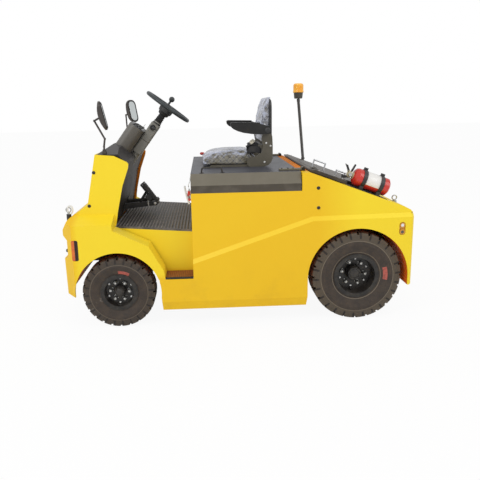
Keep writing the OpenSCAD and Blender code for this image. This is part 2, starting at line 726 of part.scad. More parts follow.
// Height of the sloping face over the nose at a station
function beak_top(x) = beak_z[4] + (x - nose_x) * (brow[1] - beak_z[4]) / (brow[0] - nose_x);
module lifting_eyes() color(steel) difference() {
  both() {
    translate([eye_x[0], -eye_y[0], beak_top(eye_x[0]) + eye_up[0]]) lifting_eye(eye_up[0], 34);
    translate([eye_x[1], -eye_y[1], deck_z(eye_x[1]) + eye_up[1]]) lifting_eye(eye_up[1], 8);
  }
  slab(-half_w, half_w) polygon([[nose_x, 0], [nose_x, beak_z[4] + 2 * seat_gap],
    [brow[0], brow[1] + 2 * seat_gap], [hood_x, hood_z + 2 * seat_gap], [hood_x, 0]]);
  slab(-half_w, half_w) polygon([[deck_x, 0], [deck_x, deck_top_z + seat_gap],
    [tail_top_x, deck_z(tail_top_x) + seat_gap], [tail_top_x, 0]]);
}

// Tow coupling: a jaw with flared lips and a pin hole
jaw = [180, 170];
jaw_z = rail_z[0] - 40;
jaw_t = 30;
module tow_coupling() color(dark) difference() {
  translate([rear_x, 0, jaw_z]) linear_extrude(jaw[1])
    polygon([[0, -jaw[0] / 2], [hitch_l - 22, -jaw[0] / 2], [hitch_l, 24 - jaw[0] / 2],
      [hitch_l, jaw[0] / 2 - 24], [hitch_l - 22, jaw[0] / 2], [0, jaw[0] / 2]]);
  slab(30 - jaw[0] / 2, jaw[0] / 2 - 30) polygon(from(rear_x, [[10, jaw_z + jaw_t],
    [hitch_l - 26, jaw_z + jaw_t], [hitch_l + 1, jaw_z + 12], [hitch_l + 1, jaw_z + jaw[1] - 12],
    [hitch_l - 26, jaw_z + jaw[1] - jaw_t], [10, jaw_z + jaw[1] - jaw_t]]));
  translate([rear_x + hitch_l - 46, 0, jaw_z - 30]) cylinder(h = jaw[1] + 100, r = 16);
}

// Mirrors: bent arm from the dash, then a head with a flat face and a domed back
mirror_in = 30;
mirror_size = [180, 96];
dome_r = 190;
mirror_r = 6;
module mirror_arm(shift, yaw) {
  y = mirror_in - cowl_y;
  foot_z = gable_z(cowl_y - mirror_in - 16) + seat_gap;
  x0 = front_axle_x - 57;
  wire([[x0, y, foot_z + 12], [x0, y, foot_z + 44], [x0 + 12, y - 20, foot_z + 94],
    [x0 - 44 + shift[0], y - 26, foot_z + 206 + shift[1]],
    [x0 + shift[0], y - 30, foot_z + 230 + shift[1]]], mirror_r, 1.5);
  translate([x0, y, foot_z]) cylinder(h = 16, r = 16);
  translate([x0, y, foot_z]) cylinder(h = 26, r = 11);
  translate([x0 + 8 + shift[0], y - 30, foot_z + 236 + shift[1]]) rotate([0, -12, yaw]) rotate([0, -90, 0]) {
    intersection() {
      translate([0, 0, -8]) linear_extrude(40) rounded(mirror_size[0], mirror_size[1], 40);
      translate([0, 0, 26 - dome_r]) sphere(r = dome_r, $fn = 96);
    }
    translate([0, 0, -10]) linear_extrude(4) rounded(mirror_size[0] - 14, mirror_size[1] - 14, 34);
  }
}
module mirror_left() color(black) mirror_arm([0, 0], 6);
module mirror_right() color(black) mirror([0, 1, 0]) mirror_arm([50, 20], 35);

// Beacon on its leaning pole at the far edge of the deck
pole_y = half_w - 48;
pole_s = 199;
pole_r = 9;
foot_t = 10;
pole_foot = [deck_x + pole_s * cos(deck_slope) + foot_t * sin(deck_slope) / 2, pole_y,
  deck_top_z - pole_s * sin(deck_slope) + foot_t * cos(deck_slope) / 2];
pole_head = [deck_x + 140, pole_y, deck_top_z + 466];
module beacon_pole() color(black) {
  bar(pole_foot, pole_head, pole_r);
  on_deck() translate([pole_s, pole_y, seat_gap]) {
    translate([-30, -16, 0]) cube([60, 32, foot_t - 4]);
    cylinder(h = foot_t + 14, r = pole_r + 5);
  }
}
lens_r = 42;
lens_h = 64;
lamp_base_h = 60;
module beacon_lamp() translate(pole_head) rotate_extrude()
  polygon([[0, 1], [30, 1], [34, 6], [38, lamp_base_h - 12], [lens_r + 3, lamp_base_h - 8],
    [lens_r + 3, lamp_base_h], [lens_r, lamp_base_h + 1], [lens_r, lamp_base_h + lens_h - 16],
    [lens_r - 5, lamp_base_h + lens_h - 5], [lens_r - 15, lamp_base_h + lens_h], [0, lamp_base_h + lens_h]]);

// Extinguisher: stations along the deck of its end, shoulder, neck and valve
ext_r = 58;
ext_y = half_w - 122;
ext_s = [541, 326, 292, 256];
ext_lift = ext_r + 12;
band_t = 4;
module along_ext() on_deck() translate([0, -ext_y, ext_lift]) rotate([0, 90, 0]) children();
module extinguisher() color(red) {
  along_ext() rotate_extrude() polygon([[0, ext_s[0] - 4], [ext_r - 12, ext_s[0]], [ext_r, ext_s[0] - 10],
    [ext_r, ext_s[1]], [ext_r - 4, ext_s[1] - 13], [ext_r - 17, ext_s[1] - 24], [18, ext_s[2] + 2],
    [14, ext_s[2]], [14, ext_s[2] - 8], [20, ext_s[2] - 10], [20, ext_s[3] + 6], [12, ext_s[3] + 4],
    [12, ext_s[3]], [0, ext_s[3]]]);
  on_deck() translate([0, -ext_y, ext_lift]) {
    slab(-7, 7) polygon([[ext_s[3] + 4, 8], [ext_s[3] - 22, 50], [ext_s[3] - 16, 55], [ext_s[3] + 16, 16]]);
    slab(-7, 7) polygon([[ext_s[3] + 18, 12], [ext_s[3] + 30, 72], [ext_s[3] + 37, 71], [ext_s[3] + 28, 12]]);
  }
}

// Cradle: tray in the hood's notch with a flange on its side wall, saddles and clamp bands
tray_s = [hood_s[1] + 12, ext_s[0] + 4];
tray_t = 3;
tray_w = 62;
band_w = 25;
module extinguisher_cradle() color(black) {
  on_deck() {
    translate([tray_s[0], -ext_y - tray_w, seat_gap])
      cube([tray_s[1] - tray_s[0], ext_y + tray_w - hood_near - seat_gap, tray_t]);
    translate([tray_s[0], -hood_near - seat_gap - tray_t, seat_gap])
      cube([tray_s[1] - tray_s[0], tray_t, hood_h - 2]);
  }
  for (s = [ext_s[1] + 26, ext_s[0] - 70]) difference() {
    union() {
      on_deck() translate([s, -ext_y - 45, seat_gap]) cube([band_w, 90, 30]);
      along_ext() translate([0, 0, s]) cylinder(h = band_w, r = ext_r + seat_gap + band_t);
    }
    along_ext() translate([0, 0, s - 1]) cylinder(h = band_w + 2, r = ext_r + seat_gap);
  }
}

// Hinged battery cover that carries the seat
lip_z = panel_top_z + 48;
cover_top_z = deck_top_z + 5;
cover_hinge = [deck_x - 25, cover_top_z + 11];
cover_t = 6;
cover_bevel = 34;
hinge_y = half_w - 120;
strap = [152, 12];
handle_x = [69, 202];
handle_h = 34;
module cover_section(t) {
  y = upper_y - t;
  polygon([[-y, panel_top_z + seat_gap - t], [-y, lip_z], [cover_bevel - y, cover_top_z - t],
    [y - cover_bevel, cover_top_z - t], [y, lip_z], [y, panel_top_z + seat_gap - t]]);
}
module battery_cover() color(dark) {
  difference() {
    across(box_x, cover_rear_x) cover_section(0);
    across(box_x + cover_t, cover_rear_x - cover_t) cover_section(cover_t);
  }
  for (side = [-1, 1]) difference() {
    union() {
      translate([cover_hinge[0] - strap[0], side * hinge_y - knuckle_l / 2, cover_top_z])
        cube([strap[0], knuckle_l, strap[1]]);
      translate([cover_hinge[0], side * hinge_y - knuckle_l / 2, cover_hinge[1]]) rotate([-90, 0, 0])
        cylinder(h = knuckle_l, r = 10);
    }
    translate([cover_hinge[0], side * hinge_y, cover_hinge[1]]) rotate([90, 0, 0])
      cylinder(h = 60, r = pin_r + run_gap, center = true);
  }
  h = cover_top_z + handle_h;
  y = 80 - half_w;
  wire([[box_x + handle_x[0], y, cover_top_z - 2], [box_x + handle_x[0] + 8, y, h],
    [box_x + handle_x[1] - 8, y, h], [box_x + handle_x[1], y, cover_top_z - 2]], 5, 0.5);
}

// Seat: side brackets with a curved outline, x from the box front and z from the cover
seat_x = [box_x + 69, box_x + 465];
plate_y = [seat_w / 2 + 4, seat_w / 2 + 24];
pan_t = 14;
arm_pivot = [box_x + 517, cover_top_z + 247];
arm_gap = 6;
cushion_h = 104;
cushion_z = cover_top_z + pan_t + 2 * seat_gap;
back_z = cushion_z + cushion_h + seat_gap;
bracket = [[398, seat_gap], [495, seat_gap], [525, 8], [546, 28], [558, 56], [558, 140], [555, 205],
  [541, 247], [493, 247], [482, 188], [491, 140], [482, 97], [454, 74], [411, 64], [388, 58], [381, 40],
  [384, 14]];
module seat_frame() color(black) {
  z0 = cover_top_z + seat_gap;
  translate([seat_x[0] + 60, -plate_y[0] - 1, z0]) cube([320, 2 * plate_y[0] + 2, pan_t]);
  both() {
    slab(-plate_y[1], -plate_y[0]) union() {
      polygon([for (p = bracket) [box_x + p[0], cover_top_z + p[1]]]);
      translate(arm_pivot) circle(r = 25);
    }
    translate([arm_pivot[0], -plate_y[1] - arm_gap + seat_gap, arm_pivot[1]]) rotate([-90, 0, 0])
      cylinder(h = 10, r = 16);
    translate([arm_pivot[0], -plate_y[1] - arm_gap - 50, arm_pivot[1]]) rotate([-90, 0, 0])
      cylinder(h = 60, r = pin_r + 3);
  }
  translate([seat_x[1] - 6, -plate_y[0] - 1, back_z]) cube([50, 2 * plate_y[0] + 2, 30 - seat_gap]);
}
module seat_cushion() color("#8d8f93") {
  translate([seat_x[0], -seat_w / 2, cushion_z]) cube([seat_x[1] - seat_x[0], seat_w, cushion_h]);
}
back_side = [[-14, 30], [44, 30], [92, 50], [94, 318], [82, 352], [66, 357], [50, 353], [20, 268], [-14, 138]];
module seat_back() color("#8d8f93") slab(4 - seat_w / 2, seat_w / 2 - 4)
  polygon([for (p = back_side) [seat_x[1] + p[0], back_z + p[1]]]);

// Armrest outline from its pivot: flat top, rounded nose and hollowed underside
rest = [[-248, 50], [-244, 28], [-230, 14], [-203, 0], [-165, -12], [-110, -21], [-50, -25], [20, -22],
  [24, 0], [20, 24], [-52, 46]];
rest_w = 58;
module armrest(side) color(black) difference() {
  y0 = plate_y[1] + arm_gap;
  translate([arm_pivot[0], 0, arm_pivot[1]]) {
    slab(side > 0 ? y0 : -y0 - rest_w, side > 0 ? y0 + rest_w : -y0) polygon(rest);
    slab(side > 0 ? y0 + 4 : -y0 - rest_w + 4, side > 0 ? y0 + rest_w - 4 : -y0 - 4)
      polygon([[-244, 45], [-52, 41], [-52, 52], [-234, 57], [-244, 54]]);
  }
  translate([arm_pivot[0], 0, arm_pivot[1]]) rotate([90, 0, 0])
    cylinder(h = 1000, r = pin_r + 3 + run_gap, center = true);
}
module armrest_left() armrest(-1);
module armrest_right() armrest(1);

// Rear hood outline along the deck, set in by t
module hood_plan(t) polygon([[hood_s[0] + t, t - hood_far], [hood_s[1] - t, t - hood_far],
  [hood_s[1] - t, t - hood_near], [hood_s[2] - t, t - hood_near], [hood_s[2] - t, hood_far - t],
  [hood_s[0] + t, hood_far - t]]);

// Hood tray with a folded front strip, set in by t
module hood_form(t) intersection() {
  linear_extrude(100) hood_plan(t);
  slab(-half_w, half_w) polygon([[hood_s[0], hood_z0 - t], [hood_s[0], hood_h - hood_fold[1] - t],
    [hood_s[0] + hood_fold[0], hood_h - t], [hood_s[2], hood_h - t], [hood_s[2], hood_z0 - t]]);
}

// Lift handles: columns station, length, y and height
hood_handles = [[64, 81, hood_far - 200, 52], [217, 63, hood_far - 148, 38]];
module rear_hood() color(dark) on_deck() {
  difference() {
    hood_form(0);
    hood_form(5);
  }
  difference() {
    translate([0, 0, seat_gap]) linear_extrude(hood_h - 8) hood_plan(seal_in);
    translate([0, 0, -1]) linear_extrude(hood_h) hood_plan(seal_in + 6);
  }
  for (side = [-1, 1]) difference() {
    union() {
      translate([hood_s[2] - 4, side * hood_hinge_y - knuckle_l / 2, hood_hinge[1] - 4])
        cube([hood_hinge[0] - hood_s[2] + 4, knuckle_l, 8]);
      translate([hood_hinge[0], side * hood_hinge_y, hood_hinge[1]]) rotate([90, 0, 0])
        cylinder(h = knuckle_l, r = 9, center = true);
    }
    translate([hood_hinge[0], side * hood_hinge_y, hood_hinge[1]]) rotate([90, 0, 0])
      cylinder(h = 60, r = pin_r + run_gap, center = true);
  }
  for (h = hood_handles) wire([[h[0], -h[2], hood_h - 3], [h[0] - 4, -h[2], hood_h + h[3]],
    [h[0] + h[1] - 4, -h[2], hood_h + h[3]], [h[0] + h[1], -h[2], hood_h - 3]], 5, 0.5);
}

// Moves the stations so that the origin lies under the middle of the overall length
module at_origin() translate([-(nose_x + rear_x + hitch_l) / 2, 0, 0]) children();

at_origin() chassis_frame();
at_origin() front_body();
at_origin() arch_liners();
at_origin() cowl();
at_origin() cowl_liner();
at_origin() floor_mat();
at_origin() step_treads();
at_origin() seat_box_front();
at_origin() cover_latch();
at_origin() side_panel_left();
at_origin() side_panel_right();
at_origin() rear_deck();
at_origin() rear_plate();
at_origin() battery();
at_origin() front_axle();
at_origin() rear_axle();
at_origin() instrument_pod();
at_origin() steering_column();
at_origin() pedals();
at_origin() turn_lamp_left();
at_origin() turn_lamp_right();
at_origin() side_sockets();
at_origin() lifting_eyes();
at_origin() tow_coupling();
at_origin() mirror_left();
at_origin() mirror_right();
at_origin() beacon_pole();
at_origin() beacon_lamp();
at_origin() extinguisher();
at_origin() extinguisher_cradle();
at_origin() battery_cover();
at_origin() seat_frame();
at_origin() seat_cushion();
at_origin() seat_back();
at_origin() rear_hood();
at_origin() armrest_left();
at_origin() armrest_right();
at_origin() steering_wheel();
at_origin() knuckle_left();
at_origin() knuckle_right();
at_origin() tie_rod();
at_origin() front_tyre_left();
at_origin() front_tyre_right();
at_origin() front_rim_left();
at_origin() front_rim_right();
at_origin() rear_tyre_left();
at_origin() rear_tyre_right();
at_origin() rear_rim_left();
at_origin() rear_rim_right();
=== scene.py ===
import json
import math

import bpy
from mathutils import Matrix, Vector, noise


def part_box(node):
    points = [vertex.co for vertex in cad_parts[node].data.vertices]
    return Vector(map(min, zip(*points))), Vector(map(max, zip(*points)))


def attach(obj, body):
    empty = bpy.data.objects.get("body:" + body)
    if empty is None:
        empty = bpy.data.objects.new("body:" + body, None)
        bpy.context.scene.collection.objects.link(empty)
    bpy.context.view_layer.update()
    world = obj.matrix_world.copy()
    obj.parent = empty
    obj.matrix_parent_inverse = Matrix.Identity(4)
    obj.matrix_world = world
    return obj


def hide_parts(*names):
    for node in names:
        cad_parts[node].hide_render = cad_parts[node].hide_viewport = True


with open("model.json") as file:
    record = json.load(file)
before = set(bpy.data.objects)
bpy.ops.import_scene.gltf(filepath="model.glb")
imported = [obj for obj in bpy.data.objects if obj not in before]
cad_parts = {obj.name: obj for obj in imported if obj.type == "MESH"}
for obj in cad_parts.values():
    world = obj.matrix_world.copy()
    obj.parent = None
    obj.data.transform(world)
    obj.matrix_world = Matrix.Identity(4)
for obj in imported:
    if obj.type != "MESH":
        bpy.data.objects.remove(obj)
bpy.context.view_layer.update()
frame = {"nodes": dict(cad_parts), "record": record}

nodes = frame["nodes"]
print("frame loaded with", len(nodes), "nodes")

# Lengths are in metres; stations along the body are counted from the drawing's own zero
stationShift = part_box("battery_cover")[0][0] + 0.305


def station(x, y, z):
    return Vector((x + stationShift, y, z))


def stationX(x):
    return x + stationShift


sides = ((-1, "Left"), (1, "Right"))


# Camera: where the photograph was taken from, a little over three metres to the tractor's left side
cameraView = {
    "place": station(-0.2137, -3.579, 1.399),
    "pan": 2.29,
    "tilt": 11.35,
    "roll": 1.15,
    "lens": 36.64,
    "shift": (0.0312, -0.0729),
}


def makeCamera(view):
    pan, tilt, roll = (math.radians(view[k]) for k in ("pan", "tilt", "roll"))
    ahead = Vector((math.sin(pan) * math.cos(tilt), math.cos(pan) * math.cos(tilt), -math.sin(tilt)))
    side = Vector((math.cos(pan), -math.sin(pan), 0))
    up = side.cross(ahead)
    right = side * math.cos(roll) - up * math.sin(roll)
    top = side * math.sin(roll) + up * math.cos(roll)
    data = bpy.data.cameras.new("camera")
    data.lens = view["lens"]
    data.sensor_width = 36
    data.shift_x, data.shift_y = view["shift"]
    data.clip_start, data.clip_end = 0.05, 60
    camera = bpy.data.objects.new("camera", data)
    bpy.context.scene.collection.objects.link(camera)
    turn = Matrix((right, top, -ahead)).transposed()
    camera.matrix_world = Matrix.Translation(view["place"]) @ turn.to_4x4()
    bpy.context.scene.camera = camera


makeCamera(cameraView)
bpy.context.scene.view_settings.view_transform = "Standard"
print("camera placed")


def at(x, y, z):
    return Matrix.Translation((x, y, z))


def spun(degrees, axis):
    return Matrix.Rotation(math.radians(degrees), 4, axis)


# A place on a surface: its Z stands out along the normal, and it is turned about that in radians
def spotOn(point, normal, turn=0):
    facing = Vector(normal).normalized().to_track_quat("Z", "Y").to_matrix().to_4x4()
    return Matrix.Translation(point) @ facing @ Matrix.Rotation(turn, 4, "Z")


# Frames that the details are built in: the sloping deck, the steering column and each wheel
def axes(origin, ahead, across, out):
    turn = Matrix((Vector(ahead), Vector(across), Vector(out))).transposed()
    return Matrix.Translation(origin) @ turn.to_4x4()


deckSlope = math.radians(20.8)
deckFrame = axes(
    station(0.439, 0, 0.988),
    (math.cos(deckSlope), 0, -math.sin(deckSlope)),
    (0, 1, 0),
    (math.sin(deckSlope), 0, math.cos(deckSlope)),
)
columnFrame = axes(station(-0.464, 0, 1.407), (0.8, 0, -0.6), (0, 1, 0), (0.6, 0, 0.8))


# Down the deck's slope, across it and out of it
def onDeck(s, y, n):
    return deckFrame @ at(s, y, n)


def wheelFrame(node, side):
    low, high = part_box(node)
    middle = (Vector(low) + Vector(high)) / 2
    return axes(middle, (-side, 0, 0), (0, 0, 1), (0, side, 0))


# Shader helpers: a socket that can be used in sums, and a sheet that holds one material's nodes
class Field:
    def __init__(self, sheet, socket):
        self.sheet = sheet
        self.socket = socket

    def maths(self, operation, *values):
        return self.sheet.node("ShaderNodeMath", {"operation": operation}, dict(enumerate(values)))

    def __add__(self, other):
        return self.maths("ADD", self, other)

    __radd__ = __add__

    def __mul__(self, other):
        return self.maths("MULTIPLY", self, other)

    __rmul__ = __mul__

    def __sub__(self, other):
        return self.maths("SUBTRACT", self, other)

    def __rsub__(self, other):
        return self.maths("SUBTRACT", other, self)

    def __gt__(self, other):
        return self.maths("GREATER_THAN", self, other)

    def __lt__(self, other):
        return self.maths("LESS_THAN", self, other)

    def size(self):
        return self.maths("ABSOLUTE", self)

    def root(self):
        return self.maths("SQRT", self)

    def most(self, other):
        return self.maths("MAXIMUM", self, other)

    def wave(self, length):
        return self.maths("SINE", self * (math.tau / length))

    def part(self, name):
        return Field(self.sheet, self.socket.node.outputs[name])


class Sheet:
    def __init__(self, name, world=None):
        self.material = world or bpy.data.materials.new(name)
        self.material.use_nodes = True
        self.tree = self.material.node_tree
        self.shader = self.tree.nodes["Background" if world else "Principled BSDF"]
        self.output = self.tree.nodes["World Output" if world else "Material Output"]
        self.place = self.node("ShaderNodeTexCoord", {}, {}, "Object")

    # One node: its type, settings, socket values or links, and the output that is wanted
    def node(self, kind, settings, values, wanted=0):
        made = self.tree.nodes.new(kind)
        for key, value in settings.items():
            setattr(made, key, value)
        for key, value in values.items():
            self.feed(made.inputs[key], value)
        return Field(self, made.outputs[wanted])

    def feed(self, socket, value):
        if isinstance(value, Field):
            self.tree.links.new(value.socket, socket)
        elif hasattr(value, "__len__") and socket.type == "RGBA" and len(value) == 3:
            socket.default_value = (*value, 1)
        else:
            socket.default_value = value

    def set(self, **values):
        for key, value in values.items():
            self.feed(self.shader.inputs[key.replace("_", " ")], value)

    def noise(self, scale, detail=3, rough=0.5, place=None):
        values = {"Vector": place or self.place, "Scale": scale, "Detail": detail, "Roughness": rough}
        return self.node("ShaderNodeTexNoise", {}, values)

    # Distance to the nearest edge between cells
    def cells(self, scale):
        values = {"Vector": self.place, "Scale": scale}
        return self.node("ShaderNodeTexVoronoi", {"feature": "DISTANCE_TO_EDGE"}, values, "Distance")

    # 0 below low, 1 above high
    def rise(self, value, low, high):
        return self.node("ShaderNodeMapRange", {}, {"Value": value, "From Min": low, "From Max": high})

    def blend(self, factor, first, second):
        values = {"Factor": factor, 6: first, 7: second}
        return self.node("ShaderNodeMix", {"data_type": "RGBA"}, values, 2)

    def vector(self, operation, first, second, wanted=0):
        return self.node("ShaderNodeVectorMath", {"operation": operation}, {0: first, 1: second}, wanted)

    def split(self, vector):
        return self.node("ShaderNodeSeparateXYZ", {}, {0: vector})

    def coordinates(self):
        parts = self.split(self.place)
        return [parts.part(axis) for axis in "XYZ"]

    # Distance along one of a frame's axes, from its origin
    def along(self, base, axis):
        offset = self.vector("SUBTRACT", self.place, tuple(base.translation))
        return self.vector("DOT_PRODUCT", offset, tuple(base.col[axis][:3]), "Value")

    # The base colour set so far
    def paint(self):
        return Field(self, self.shader.inputs["Base Color"].links[0].from_socket)

    def bump(self, height, strength, distance=0.001):
        values = {"Height": height, "Strength": strength, "Distance": distance}
        self.set(Normal=self.node("ShaderNodeBump", {}, values))

    def facing(self, axis):
        return self.split(self.node("ShaderNodeNewGeometry", {}, {}, "Normal")).part(axis)


# A colour as seen on a screen, 0 to 255, in the linear values that shaders take
def shade(*colour):
    return tuple(((c / 255 + 0.055) / 1.055) ** 2.4 if c > 10 else c / 255 / 12.92 for c in colour)


# Finishes
# Body paint: heights and stations where its painted shade deepens follow the panels; ledges are lightened as
# painted highlight, and inner faces, a deck strip and the arches turn orange as painted shade
paintLook = {
    "colour": (243, 214, 44), "deep": (236, 190, 30), "inner": (224, 128, 26), "ledgeHighlight": (252, 230, 70),
    "archShadeColour": (226, 96, 2), "archDust": (110, 50, 14), "bare": (36, 33, 30), "splash": (150, 110, 50),
    "roughness": 0.46, "seatBox": -0.306, "panelFade": (0.47, 0.74), "skirtTop": (0.33, 0.36),
    "noseEnd": (-1.06, -1.02), "cowlBack": -0.4, "hoodEdge": 0.34, "earStart": 0.36,
    "archReach": {"front_tyre_left": 0.286, "rear_tyre_left": 0.34},
}


# 1 inside the wheel arches, seen from the side
def insideArches(sheet, look):
    inside = 0
    for node, reach in look["archReach"].items():
        low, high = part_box(node)
        middle = (Vector(low) + Vector(high)) / 2
        flat = sheet.vector("MULTIPLY", sheet.vector("SUBTRACT", sheet.place, tuple(middle)), (1, 0, 1))
        away = sheet.node("ShaderNodeVectorMath", {"operation": "LENGTH"}, {0: flat}, "Value")
        inside = inside + (away < reach)
    return inside


def bodyPaint(look=paintLook, arches=False):
    sheet = Sheet("archPaint" if arches else "bodyPaint")
    cloud = sheet.rise(sheet.noise(1.6, 2), 0.35, 0.65)
    grime = sheet.noise(9, 5, 0.65)
    ahead, across, height = sheet.coordinates()
    up, sideways = sheet.facing("Z"), sheet.facing("Y")
    low = 1 - sheet.rise(height, 0.12, 0.45)
    # Painted shade: the rear side panel, the lower skirt fold and the nose's front face take the deeper
    # yellow
    panel = (ahead > stationX(look["seatBox"])) * (1 - sheet.rise(ahead, *look["panelFade"]))
    skirt = (1 - sheet.rise(height, *look["skirtTop"])) * (ahead < 0.45)
    nose = 1 - sheet.rise(ahead, *[stationX(x) for x in look["noseEnd"]])
    deep = panel.most(skirt.most(nose))
    colour = sheet.blend(deep * 0.9 + cloud * 0.12, shade(*look["colour"]), shade(*look["deep"]))
    # Painted highlight: bevels that face up and sideways, and low rearward faces ahead of the cowl's back,
    # are lightened
    ledgeHighlight = (up > 0.08) * (up < 0.85) * (sideways.size() > 0.3)
    behind = (sheet.facing("X") > 0.25) * (height < 0.8) * (ahead < stationX(look["cowlBack"]))
    colour = sheet.blend(ledgeHighlight.most(behind) * 0.35, colour, shade(*look["ledgeHighlight"]))
    # Painted shade: inward faces of the upper flanks and the up-facing deck strip behind the hood edge take
    # the orange inner colour
    shadedInnerFaces = (sideways * across < -0.2) * (across.size() > 0.4) * (height > 0.66)
    strip = (up > 0.8) * (ahead > stationX(look["hoodEdge"])) * (height > 0.95) * (across > -0.5)
    colour = sheet.blend(shadedInnerFaces.most(strip), colour, shade(*look["inner"]))
    if arches:
        # Painted shade: inside the arches the paint turns orange-brown, with noise dust over it
        dust = sheet.rise(grime, 0.45, 0.8) * 0.4
        dusty = sheet.blend(dust, shade(*look["archShadeColour"]), shade(*look["archDust"]))
        colour = sheet.blend(insideArches(sheet, look), colour, dusty)
    ears = (height > 0.9893) * (ahead > stationX(look["earStart"]))
    colour = sheet.blend(ears, colour, shade(*look["bare"]))
    splash = sheet.blend(low * sheet.rise(grime, 0.48, 0.8) * 0.2, colour, shade(*look["splash"]))
    sheet.set(Base_Color=splash, Roughness=look["roughness"] + grime * 0.1 + strip * 0.3)
    sheet.set(Coat_Weight=0.02, Coat_Roughness=0.2, Specular_IOR_Level=0.25)
    sheet.bump(sheet.noise(420, 2) + sheet.noise(6, 2) * 1.5, 0.05, 0.0008)
    return sheet


# Moulded or painted dark surface: its side, slope and top colours follow the way it faces, as painted light,
# shade and sky reflection
def darkSurface(name, side, slope, top, roughness, grain=0.12, dusty=0.22):
    sheet = Sheet(name)
    up = sheet.facing("Z")
    # Painted light: side, slope and top are lit and shaded copies of one dark finish, picked by the face's
    # slope
    base = sheet.blend(sheet.rise(up, 0.15, 0.3), shade(*side), shade(*slope))
    base = sheet.blend(sheet.rise(up, 0.6, 0.9), base, shade(*top))
    dust = sheet.rise(sheet.noise(14, 5, 0.6), 0.45, 0.85)
    scuffs = sheet.rise(sheet.noise(70, 4, 0.7), 0.6, 0.8)
    tone = sheet.blend(dust * dusty + scuffs * 0.08, base, shade(132, 124, 112))
    sheet.set(Base_Color=tone, Roughness=roughness + dust * 0.14)
    sheet.bump(sheet.noise(260, 3), grain, 0.0008)
    return sheet


def plainMetal(name, colour, roughness):
    sheet = Sheet(name)
    scuff = sheet.noise(38, 4, 0.6)
    tone = sheet.blend(sheet.rise(scuff, 0.35, 0.75), shade(*colour), tuple(c * 0.7 for c in shade(*colour)))
    sheet.set(Base_Color=tone, Metallic=1.0, Roughness=roughness + scuff * 0.15)
    sheet.bump(sheet.noise(300, 2), 0.05)
    return sheet


def glossPaint(name, colour, dark, roughness=0.22):
    sheet = Sheet(name)
    cloud = sheet.noise(12, 3)
    scuff = sheet.rise(sheet.noise(50, 5, 0.7), 0.58, 0.8)
    tone = sheet.blend(cloud * 0.5, shade(*colour), shade(*dark))
    tone = sheet.blend(scuff * 0.2, tone, shade(150, 120, 100))
    sheet.set(Base_Color=tone, Roughness=roughness + cloud * 0.08, Coat_Weight=0.4)
    sheet.bump(sheet.noise(380, 2), 0.03)
    return sheet


def clearGlass(name, colour, metallic, roughness):
    sheet = Sheet(name)
    smear = sheet.noise(24, 4, 0.6)
    sheet.set(Base_Color=sheet.blend(smear * 0.6, shade(*colour), tuple(c * 0.8 for c in shade(*colour))))
    sheet.set(Metallic=metallic, Roughness=roughness + smear * 0.06)
    sheet.bump(sheet.noise(12, 2), 0.02)
    return sheet


# Battery cover: its lift handle and hinge straps are darker than its folded sides
def coverFinish():
    # Painted light: the folded slope is lighter and the top bluish, as painted highlight and sky reflection
    sheet = darkSurface("coverBlack", (68, 61, 50), (108, 102, 88), (66, 68, 78), 0.38)
    ahead, across, height = sheet.coordinates()
    over = height > 0.996
    handle = over * (across < -0.5)
    strap = over * (ahead > stationX(0.23))
    tone = sheet.blend(strap, sheet.paint(), shade(112, 106, 88))
    sheet.set(Base_Color=sheet.blend(handle * (1 - strap), tone, shade(52, 48, 42)))
    return sheet


# Hood: the wire handles that stand over its top are bright
def hoodFinish():
    sheet = darkSurface("hoodBlack", (52, 46, 40), (64, 59, 54), (84, 77, 70), 0.46)
    handle = sheet.along(deckFrame, 2) > 0.0275
    sheet.set(Base_Color=sheet.blend(handle, sheet.paint(), shade(206, 208, 210)))
    sheet.set(Metallic=handle, Roughness=0.42 - handle * 0.18)
    return sheet


# Dash board: its ends below the cowl show body paint, in the deeper yellow that stands for painted shade
def dashFinish():
    sheet = darkSurface("dashBlack", (26, 20, 16), (48, 45, 44), (70, 68, 68), 0.55, 0.3, 0.1)
    _, across, height = sheet.coordinates()
    painted = (across.size() > 0.4712) * (height < 0.7375)
    sheet.set(Base_Color=sheet.blend(painted, sheet.paint(), shade(*paintLook["deep"])))
    return sheet


# Lifting eyes: the front ones stand in black collars
def eyeFinish():
    sheet = plainMetal("eyeSteel", (200, 200, 196), 0.28)
    ahead, _, height = sheet.coordinates()
    collar = (ahead < 0) * (height < 0.7438)
    sheet.set(Base_Color=sheet.blend(collar, sheet.paint(), shade(40, 38, 38)), Metallic=1 - collar)
    return sheet


# Extinguisher: red bottle, cream valve and black levers
def bottleFinish():
    sheet = glossPaint("bottleRed", (208, 50, 38), (170, 30, 26))
    valve = sheet.along(deckFrame, 0) < 0.2965
    lever = valve * (sheet.along(deckFrame, 2) > 0.0925)
    tone = sheet.blend(valve, sheet.paint(), shade(196, 184, 150))
    sheet.set(Base_Color=sheet.blend(lever, tone, shade(30, 30, 30)))
    return sheet


# Tyre: rings, grooves and a moulded band on the wall, dust on the blocks and a plain red patch; the grooves
# are darkened as painted shade
tyreLook = {
    "front": {
        "outer": 0.235, "patch": (0.125, 0.147), "turn": 75, "spread": 15, "rings": (0.118, 0.186),
        "grooves": 24, "shoulder": (70, 61, 51), "line": 0.4,
    },
    "rear": {
        "outer": 0.295, "patch": (0.176, 0.203), "turn": 4, "spread": 13, "rings": (0.160, 0.238),
        "grooves": 26, "shoulder": (96, 86, 70), "line": 0.65,
    },
}


